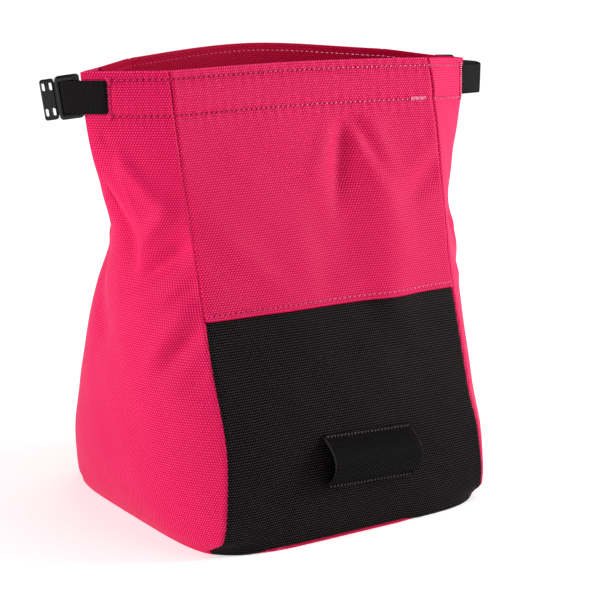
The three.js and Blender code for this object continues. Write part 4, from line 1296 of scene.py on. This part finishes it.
# Route of the strap in millimetres: X, Y and Z of the middle of its upper edge, then X and Y of
# the middle of its lower edge, which lies the strap's width below it
STRAP_ROUTE = np.array([
    [-153.8, -8.8, 302.3, -151.5, -10.4],
    [-160.9, -3.9, 302.3, -158.6, -5.5],
    [-163.0, -3.0, 302.3, -160.6, -4.6],
    [-164.5, -3.0, 302.3, -162.2, -4.5],
    [-165.6, -3.7, 302.3, -163.3, -5.3],
    [-165.9, -4.8, 302.3, -163.6, -6.4],
    [-165.5, -6.3, 302.3, -163.2, -7.8],
    [-163.6, -7.9, 302.3, -161.3, -9.5],
    [-156.0, -12.9, 302.2, -155.0, -14.2],
    [-148.6, -17.7, 302.2, -148.4, -18.8],
    [-142.4, -20.7, 302.2, -142.6, -22.3],
    [-139.2, -20.0, 302.2, -139.4, -21.9],
    [-136.2, -19.2, 302.2, -136.4, -21.5],
    [-126.9, -23.8, 302.1, -127.3, -26.9],
    [-115.1, -29.5, 302.1, -115.4, -33.5],
    [-103.9, -34.6, 302.0, -103.8, -39.3],
    [-81.6, -32.7, 302.3, -81.5, -38.0],
    [-58.3, -31.1, 302.7, -58.2, -36.7],
    [-35.0, -30.0, 303.0, -34.9, -35.8],
    [-11.7, -29.4, 303.2, -11.6, -35.4],
    [11.7, -29.4, 303.2, 11.6, -35.4],
    [35.0, -30.0, 303.0, 34.9, -35.8],
    [58.3, -31.1, 302.7, 58.2, -36.7],
    [81.6, -32.7, 302.4, 81.5, -38.0],
    [103.9, -34.6, 302.0, 103.8, -39.3],
    [114.6, -29.8, 301.4, 114.9, -33.8],
    [125.8, -24.4, 300.5, 126.2, -27.5],
    [136.6, -19.0, 299.7, 136.8, -21.3],
    [141.9, -16.3, 299.3, 141.7, -18.1],
    [145.2, -14.5, 299.2, 144.7, -16.1],
    [153.8, -14.7, 299.0, 152.9, -15.3],
    [162.3, -13.4, 299.0, 161.4, -14.0],
    [170.7, -12.0, 298.9, 169.8, -12.6],
    [172.0, -11.2, 299.4, 171.1, -11.8],
    [172.4, -9.7, 299.8, 171.4, -10.3],
    [171.6, -8.4, 300.3, 170.6, -9.0],
    [170.1, -8.1, 300.7, 169.1, -8.6],
    [161.8, -8.6, 301.6, 161.3, -8.8],
    [153.5, -9.1, 302.4, 153.5, -9.1],
    [148.6, -5.6, 302.4, 148.6, -5.6],
    [143.8, -2.1, 302.4, 143.8, -2.1],
    [143.1, -1.1, 302.4, 143.1, -1.1],
    [142.9, 0.1, 302.4, 142.9, 0.1],
    [143.3, 1.3, 302.4, 143.3, 1.3],
    [144.3, 2.0, 302.4, 144.3, 2.0],
    [145.5, 2.2, 302.4, 145.5, 2.2],
    [146.7, 1.8, 302.4, 146.7, 1.8],
    [151.6, -1.8, 302.4, 151.6, -1.8],
])

# Buckle halves: the middle of the frame's bar in millimetres, the direction away from the bag in
# plan, and the lean in degrees
LEFT_BUCKLE = ((-161.083, -6.714, 292.301), (-0.82489, 0.56529), -8.0)
RIGHT_BUCKLE = ((145.258, -0.161, 292.444), (-0.80852, 0.58847), 0.0)

# Raised mark on the left half's plate, in millimetres from the bar: away from the bag and up
CHEVRON = ((10.9, 12.4), (11.1, 10.0), (11.6, 7.4), (12.1, 7.4), (12.6, 10.0), (12.8, 12.4))
CHEVRON_DEPTH = -2.5 * MM


@dataclass
class Strap:
    """The webbing strap with both buckle halves and the two ways out of the casing."""

    steps_a_span: int = 5
    columns: int = 14
    selvedge: float = 0.12
    slit_places: tuple = (4 - 37.9 * MM / GUSSET_SPAN, 1 + 49.2 * MM / GUSSET_SPAN)
    slit_ends: tuple = (30.5 * MM, 3.5 * MM)
    welt_half: float = 1.3 * MM
    welt_height: float = 0.9 * MM
    welt_wave: float = 0.25 * MM
    welt_pitch: float = 5.2 * MM
    fringe_ends: tuple = (6.0 * MM, 25.6 * MM)
    fringe_from_seam: float = 39.3 * MM
    fringe_waves: tuple = ((0.5 * MM, 3100, 0), (0.35 * MM, 7300, 1))

    def smooth_route(self) -> Grid:
        """The route as two smooth edges.

        Each span between two rows of the table is a cubic whose end directions are half the step
        between the rows before and after, so the edges bend evenly. No end direction is longer
        than 1.2 times the shorter span beside it.
        """
        low = STRAP_ROUTE[:, 2:3] - STRAP_WIDTH / MM
        rows = np.hstack([STRAP_ROUTE, low]).reshape(-1, 2, 3) * MM
        before = np.concatenate([rows[:1], rows[:-1]])
        after = np.concatenate([rows[1:], rows[-1:]])
        tangent = (after - before) / 2
        gap = np.linalg.norm(np.diff(rows, axis=0), axis=-1).min(1)
        beside = np.minimum(np.append(gap, gap[-1]), np.insert(gap, 0, gap[0]))[:, None, None]
        reach = np.linalg.norm(tangent, axis=-1, keepdims=True)
        tangent = tangent * np.minimum(1, 1.2 * beside / np.maximum(reach, 1e-9))
        share = np.linspace(0, 1, self.steps_a_span, endpoint=False)[None, :, None, None]
        start, stop = rows[:-1, None], rows[1:, None]
        spans = cubic(share, start, tangent[:-1, None], stop, tangent[1:, None])
        return np.concatenate([spans.reshape(-1, 2, 3), rows[-1:]])

    def build(self, finishes: Finishes) -> None:
        """Makes the strap, the two ways out of the casing and the buckle halves' looks."""
        self.build_webbing(finishes)
        for name, place in zip(("left_slit", "right_slit"), self.slit_places):
            self.build_slit(name, place, finishes)
        for node in ("left_buckle_half", "right_buckle_half"):
            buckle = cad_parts[node]
            buckle.data.materials.clear()
            buckle.data.materials.append(finishes.plastic.material)
        self.build_fringe(finishes)
        left, right = BuckleFrame(*LEFT_BUCKLE), BuckleFrame(*RIGHT_BUCKLE)
        left.build("left_buckle_rim", finishes)
        right.build("right_buckle_rim", finishes)
        mark = np.array(CHEVRON) * MM
        bead = left.placed(mark[:, 0], mark[:, 1], np.full(len(mark), CHEVRON_DEPTH))
        make_object("left_buckle_chevron", tube(bead, left.out(), 0.6 * MM), finishes.plastic)

    def build_webbing(self, finishes: Finishes) -> None:
        """Makes the ribbon between the route's edges, thinner towards both selvedges."""
        edges = self.smooth_route()
        share = np.linspace(0, 1, self.columns)[:, None, None]
        middle = edges[None, :, 0] * (1 - share) + edges[None, :, 1] * share
        normal = unit(np.cross(np.gradient(middle, axis=1), np.gradient(middle, axis=0)))
        thickness = STRAP_THICKNESS * (1 - self.selvedge * np.abs(2 * share - 1) ** 6)
        outer, inner = (middle + way * normal * thickness / 2 for way in (1, -1))
        ribbon = shell(outer, inner, cloth_uv(middle))
        make_object("webbing", ribbon, finishes.webbing, "closure_strap")

    def build_fringe(self, finishes: Finishes) -> None:
        """Makes the ragged yarns at the webbing's cut edge, where it goes into the left slit."""
        below = np.linspace(*self.fringe_ends, 60)
        ragged = sum(
            size * np.sin(below * turns + start) for size, turns, start in self.fringe_waves
        )
        place = 4 - (self.fringe_from_seam + ragged) / GUSSET_SPAN
        yarn = StitchRow(0.8 * MM, 2.2 * MM, slant=math.pi / 2, sink=0.7 * MM)
        fringe = yarn.build(*cloth_line(place, below, 1.5 * MM))
        make_object("webbing_fringe", fringe, finishes.webbing)

    def build_slit(self, name: str, place: float, finishes: Finishes) -> None:
        """Makes the welt at the edge of a slit, with overcast stitches over it.

        Args:
            name: name of the slit.
            place: place round the bag of the welt's middle.
            finishes: the bag's finishes.
        """
        half = self.welt_half / GUSSET_SPAN
        run = place + np.linspace(-half, half, 9)
        below = np.linspace(*self.slit_ends, 36)
        share = np.linspace(-1, 1, 9)[None]
        wave = self.welt_wave * np.sin(below * 2 * np.pi / self.welt_pitch)[:, None]
        lift = self.welt_height * np.sqrt(np.clip(1 - share**2, 0, 1)) + 0.3 * MM + wave
        top = FORM.below_rim(run[None], below[:, None], lift)
        low = FORM.below_rim(run[None], below[:, None], -0.6 * MM)
        make_object(f"{name}_welt", shell(top, low, cloth_uv(top), 0.3), finishes.pink)
        line, normals = cloth_line(np.full_like(below, place), below, 1.1 * MM)
        stitch = StitchRow(1.5 * MM, 3.0 * MM, radius=0.28 * MM, slant=1.35, sink=0.7 * MM)
        make_object(f"{name}_stitches", stitch.build(line, normals), finishes.pink_thread)


@dataclass
class BuckleFrame:
    """The rounded frame of a buckle half, with rails that close in on the webbing.

    Local x runs away from the bag from the frame's bar, y runs up and z through the frame.
    """

    bar: tuple
    away: tuple
    tilt: float
    near_end: float = -9.05 * MM
    far_end: float = 6.6 * MM
    half_height: float = 14.0 * MM
    hole_half: float = 10.15 * MM
    near_rail: float = 1.9 * MM
    far_rail: float = 2.7 * MM
    corner: float = 2.6 * MM
    thickness: float = 6.3 * MM
    near_thickness: float = 2.3 * MM
    hole_corner: float = 0.9 * MM
    grow_from: float = 1.4 * MM
    grow_to: float = 4 * MM
    arc_steps: int = 9
    sides: int = 20
    squareness: float = 0.5

    def out(self) -> np.ndarray:
        """Direction through the frame, towards its back."""
        return np.array([self.away[1], -self.away[0], 0.0])

    def placed(self, x: np.ndarray, y: np.ndarray, z: np.ndarray) -> np.ndarray:
        """Points of the frame in the part's frame."""
        lean = math.radians(self.tilt)
        far = x * math.cos(lean) - y * math.sin(lean)
        high = x * math.sin(lean) + y * math.cos(lean)
        away = np.array([*self.away, 0.0])
        up = np.array([0.0, 0.0, 1.0])
        within = far[..., None] * away + high[..., None] * up + z[..., None] * self.out()
        return np.array(self.bar) * MM + within

    def outline(self, left: float, right: float, half: float, radius: float) -> np.ndarray:
        """A rectangle with rounded corners: arcs with straight runs between them."""
        angle = np.linspace(0, np.pi / 2, self.arc_steps)
        corners = []
        ends = ((right, half), (left, half), (left, -half), (right, -half))
        for number, (x, y) in enumerate(ends):
            turn = angle + number * np.pi / 2
            middle = [x - math.copysign(radius, x - left - 1e-9), y - math.copysign(radius, y)]
            corners.append(middle + radius * np.stack([np.cos(turn), np.sin(turn)], 1))
        share = np.linspace(0, 1, self.arc_steps)[1:-1, None]
        runs = [
            np.concatenate([arc, arc[-1] * (1 - share) + following[0] * share])
            for arc, following in zip(corners, corners[1:] + corners[:1])
        ]
        return np.concatenate(runs)

    def build(self, name: str, finishes: Finishes) -> None:
        """Makes the frame: a rounded box section swept between its outer and inner outlines.

        Args:
            name: name of the piece.
            finishes: the bag's finishes.
        """
        outer = self.outline(self.near_end, self.far_end, self.half_height, self.corner)
        hole = (self.near_end + self.near_rail, self.far_end - self.far_rail)
        inner = self.outline(*hole, self.hole_half, self.hole_corner)
        middle, half = (outer + inner) / 2, (outer - inner) / 2
        grown = smooth_step(middle[:, 0] - self.near_end, self.grow_from, self.grow_to)
        deep = (self.near_thickness + (self.thickness - self.near_thickness) * grown) / 2
        angle = 2 * np.pi * np.arange(self.sides) / self.sides
        round_x, round_z = (
            np.sign(circle(angle)) * np.abs(circle(angle)) ** self.squareness
            for circle in (np.cos, np.sin)
        )
        plan = middle[:, None] + half[:, None] * round_x[None, :, None]
        points = self.placed(plan[..., 0], plan[..., 1], deep[:, None] * round_z[None])
        points = points.reshape(-1, 3)
        quads = ring_quads(len(middle), self.sides).reshape(-1, 4)
        faces = turned_outwards(points - points.mean(0), quads).tolist()
        make_object(name, MeshParts(points, faces, points[:, :2]), finishes.plastic)


@dataclass
class BrushLoop:
    """The sewn-on loop: a strip of twill arched between its two sewn edges, open at both ends."""

    length: float = 70 * MM
    height: float = 34 * MM
    bulge: float = 13 * MM
    cloth: float = 1.5 * MM
    flange: float = 2.2 * MM
    middle_x: float = 5.5 * MM
    middle_height: float = 51.5 * MM
    tilt: float = math.radians(-2.5)
    seat: float = 0.4 * MM
    fullness: float = 2.15
    rows: int = 64
    columns: int = 56
    stitch_inset: float = 0.9 * MM
    stitch_run: float = 0.485
    stitch_slants: tuple = (0.9, -0.7)
    edge_radius: float = 0.72 * MM

    def on_panel(self, along: np.ndarray, across: np.ndarray, out: np.ndarray) -> Grid:
        """Points of the loop: along it, across it and out from the front panel."""
        x = self.middle_x + along * math.cos(self.tilt) - across * math.sin(self.tilt)
        z = self.middle_height + along * math.sin(self.tilt) + across * math.cos(self.tilt)
        rise = (z - FOOT_HEIGHT) / HEIGHT_SPAN
        half_width = FORM.section["half_width"](rise) * BASE_WIDTH / 2
        panel = FORM.cloth(0.5 + x / half_width / 2, rise)
        return np.stack([x, panel[..., 1] - self.seat - out, z], -1)

    def build(self, finishes: Finishes) -> None:
        """Makes the strip and its stitches.

        The strip's section is a power curve: flat on the panel at both flanges, and standing off
        it most in the middle. The inner face follows it at the cloth's thickness.
        """
        up = np.linspace(0, 1, self.rows)
        flange = self.flange / self.height
        share = np.clip((up - flange) / (1 - 2 * flange), 0, 1)
        arch = 1 - np.abs(2 * share - 1) ** self.fullness
        profile = np.stack([(up - 0.5) * self.height, (self.bulge - self.cloth) * arch], 1)
        steps = np.gradient(profile, axis=0)
        normal = unit(np.stack([-steps[:, 1], steps[:, 0]], 1))
        raised = profile + normal * self.cloth
        along = (np.linspace(0, 1, self.columns) - 0.5)[None] * self.length
        outer, inner = (
            self.on_panel(*np.broadcast_arrays(along, line[:, :1], line[:, 1:]))
            for line in (raised, profile)
        )
        strip = shell(outer, inner, cloth_uv(outer))
        make_object("brush_loop_cloth", strip, finishes.twill, "brush_loop")
        self.build_stitches(finishes)
        # lighter cords along both open ends: a painted highlight on the loop's cut edges
        rim = (raised[2:-2] + profile[2:-2]) / 2
        ends = (
            self.on_panel(np.full(len(rim), end * self.length / 2), rim[:, 0], rim[:, 1])
            for end in (-1, 1)
        )
        edges = [tube(line, [1.0, 0.0, 0.0], self.edge_radius) for line in ends]
        make_object("brush_loop_edge_highlights", joined(edges), finishes.cut_edge)

    def build_stitches(self, finishes: Finishes) -> None:
        """Makes two rows of crossed stitches, one along each sewn edge."""
        run = np.linspace(-self.stitch_run, self.stitch_run, 80) * self.length
        stitch = StitchRow(pitch=2.7 * MM, length=2.4 * MM, radius=0.24 * MM)
        out = np.full_like(run, self.cloth + 0.2 * MM)
        normals = np.tile([0.0, -1.0, 0.0], (len(run), 1))
        rows = []
        for edge in (-1, 1):
            across = np.full_like(run, edge * (self.height / 2 - self.stitch_inset))
            line = self.on_panel(run, across, out)
            for slant in self.stitch_slants:
                rows.append(replace(stitch, slant=slant).build(line, normals))
        make_object("brush_loop_stitches", joined(rows), finishes.grey_thread)


# Scene round the bag

# Soft lights: name, place, the point that it looks at, side in metres and power in watts
LIGHTS = (
    ("left softbox", (-1.5, 0.1, 0.7), (-0.1, 0.0, 0.15), 0.8, 22.5),
    ("right softbox", (0.9, -0.5, 0.55), (0.06, -0.05, 0.2), 0.42, 11.0),
    ("top softbox", (0.4, -0.2, 1.9), (0.0, 0.0, 0.1), 1.2, 9.0),
)


@dataclass
class Studio:
    """A plain white floor with a white horizon, soft lights and the camera at the photo's angle.

    Each glow gives where a change of strength starts and ends, and the strength at both.
    """

    camera_place: tuple = (-0.61655, -0.96170, 0.39459)
    camera_turn: float = -33.5
    camera_tilt: float = 12.6
    lens: float = 98.87
    sensor_width: float = 36.0
    floor_half: float = 40.0
    sky_glow: tuple = (0.14, 0.3, 0.85, 0.05)
    floor_glow: tuple = (0.3, 1.6, 0.32, 1.0)

    def build(self) -> None:
        """Makes the floor, the world, the lights and the camera."""
        self.build_floor()
        self.build_world()
        for light in LIGHTS:
            self.add_light(*light)
        camera_data = bpy.data.cameras.new("camera")
        camera_data.lens = self.lens
        camera_data.sensor_width = self.sensor_width
        camera = linked("camera", camera_data)
        camera.location = self.camera_place
        tilt, turn = math.radians(90 - self.camera_tilt), math.radians(self.camera_turn)
        camera.rotation_euler = (tilt, 0, turn)
        bpy.context.scene.camera = camera
        bpy.context.scene.view_settings.view_transform = "Standard"

    def build_world(self) -> None:
        """Makes the surroundings: white at the horizon and dim above it."""
        world = bpy.data.worlds.new("soft studio")
        bpy.context.scene.world = world
        world.use_nodes = True
        tree = world.node_tree
        background = tree.nodes["Background"]
        background.inputs["Color"].default_value = linear(0xFFFFFF)
        way = add_node(tree, "ShaderNodeTexCoord").outputs["Generated"]
        height = add_node(tree, "ShaderNodeSeparateXYZ", {0: way}).outputs["Z"]
        tree.links.new(spread(tree, height, *self.sky_glow), background.inputs["Strength"])

    def build_floor(self) -> None:
        """Makes the floor as one wide square."""
        half = self.floor_half
        mesh = bpy.data.meshes.new("floor")
        corners = [(-half, -half, 0), (half, -half, 0), (half, half, 0), (-half, half, 0)]
        mesh.from_pydata(corners, [], [(0, 1, 2, 3)])
        material, tree, surface = new_material("white paper backdrop")
        place = object_place(tree)
        grain = noise(tree, place, 60.0).outputs["Fac"]
        colour = mixed(tree, grain, linear(0xFDFDFD), linear(0xFFFFFF))
        distance = add_node(tree, "ShaderNodeVectorMath", {0: place}, operation="LENGTH")
        glow = spread(tree, distance.outputs["Value"], *self.floor_glow)
        tree.links.new(colour, surface.inputs["Base Color"])
        tree.links.new(glow, surface.inputs["Emission Strength"])
        surface.inputs["Roughness"].default_value = 0.9
        surface.inputs["Emission Color"].default_value = linear(0xFFFFFF)
        mesh.materials.append(material)
        linked("floor", mesh)

    def add_light(self, name: str, place: tuple, target: tuple, size: float, power: float) -> None:
        """Adds a square soft light that looks at a target."""
        data = bpy.data.lights.new(name, "AREA")
        data.energy = power
        data.size = size
        lamp = linked(name, data)
        x, y, z = np.subtract(target, place)
        lamp.location = place
        lamp.rotation_euler = (math.atan2(math.hypot(x, y), -z), 0, math.atan2(y, x) - math.pi / 2)


def main() -> None:
    """Builds and dresses the whole bag, then the studio round it."""
    finishes = Finishes()
    ClothPanels().build(finishes)
    Hems().build(finishes)
    Stitching().build(finishes)
    Strap().build(finishes)
    BrushLoop().build(finishes)
    Studio().build()


if __name__ == "__main__":
    main()
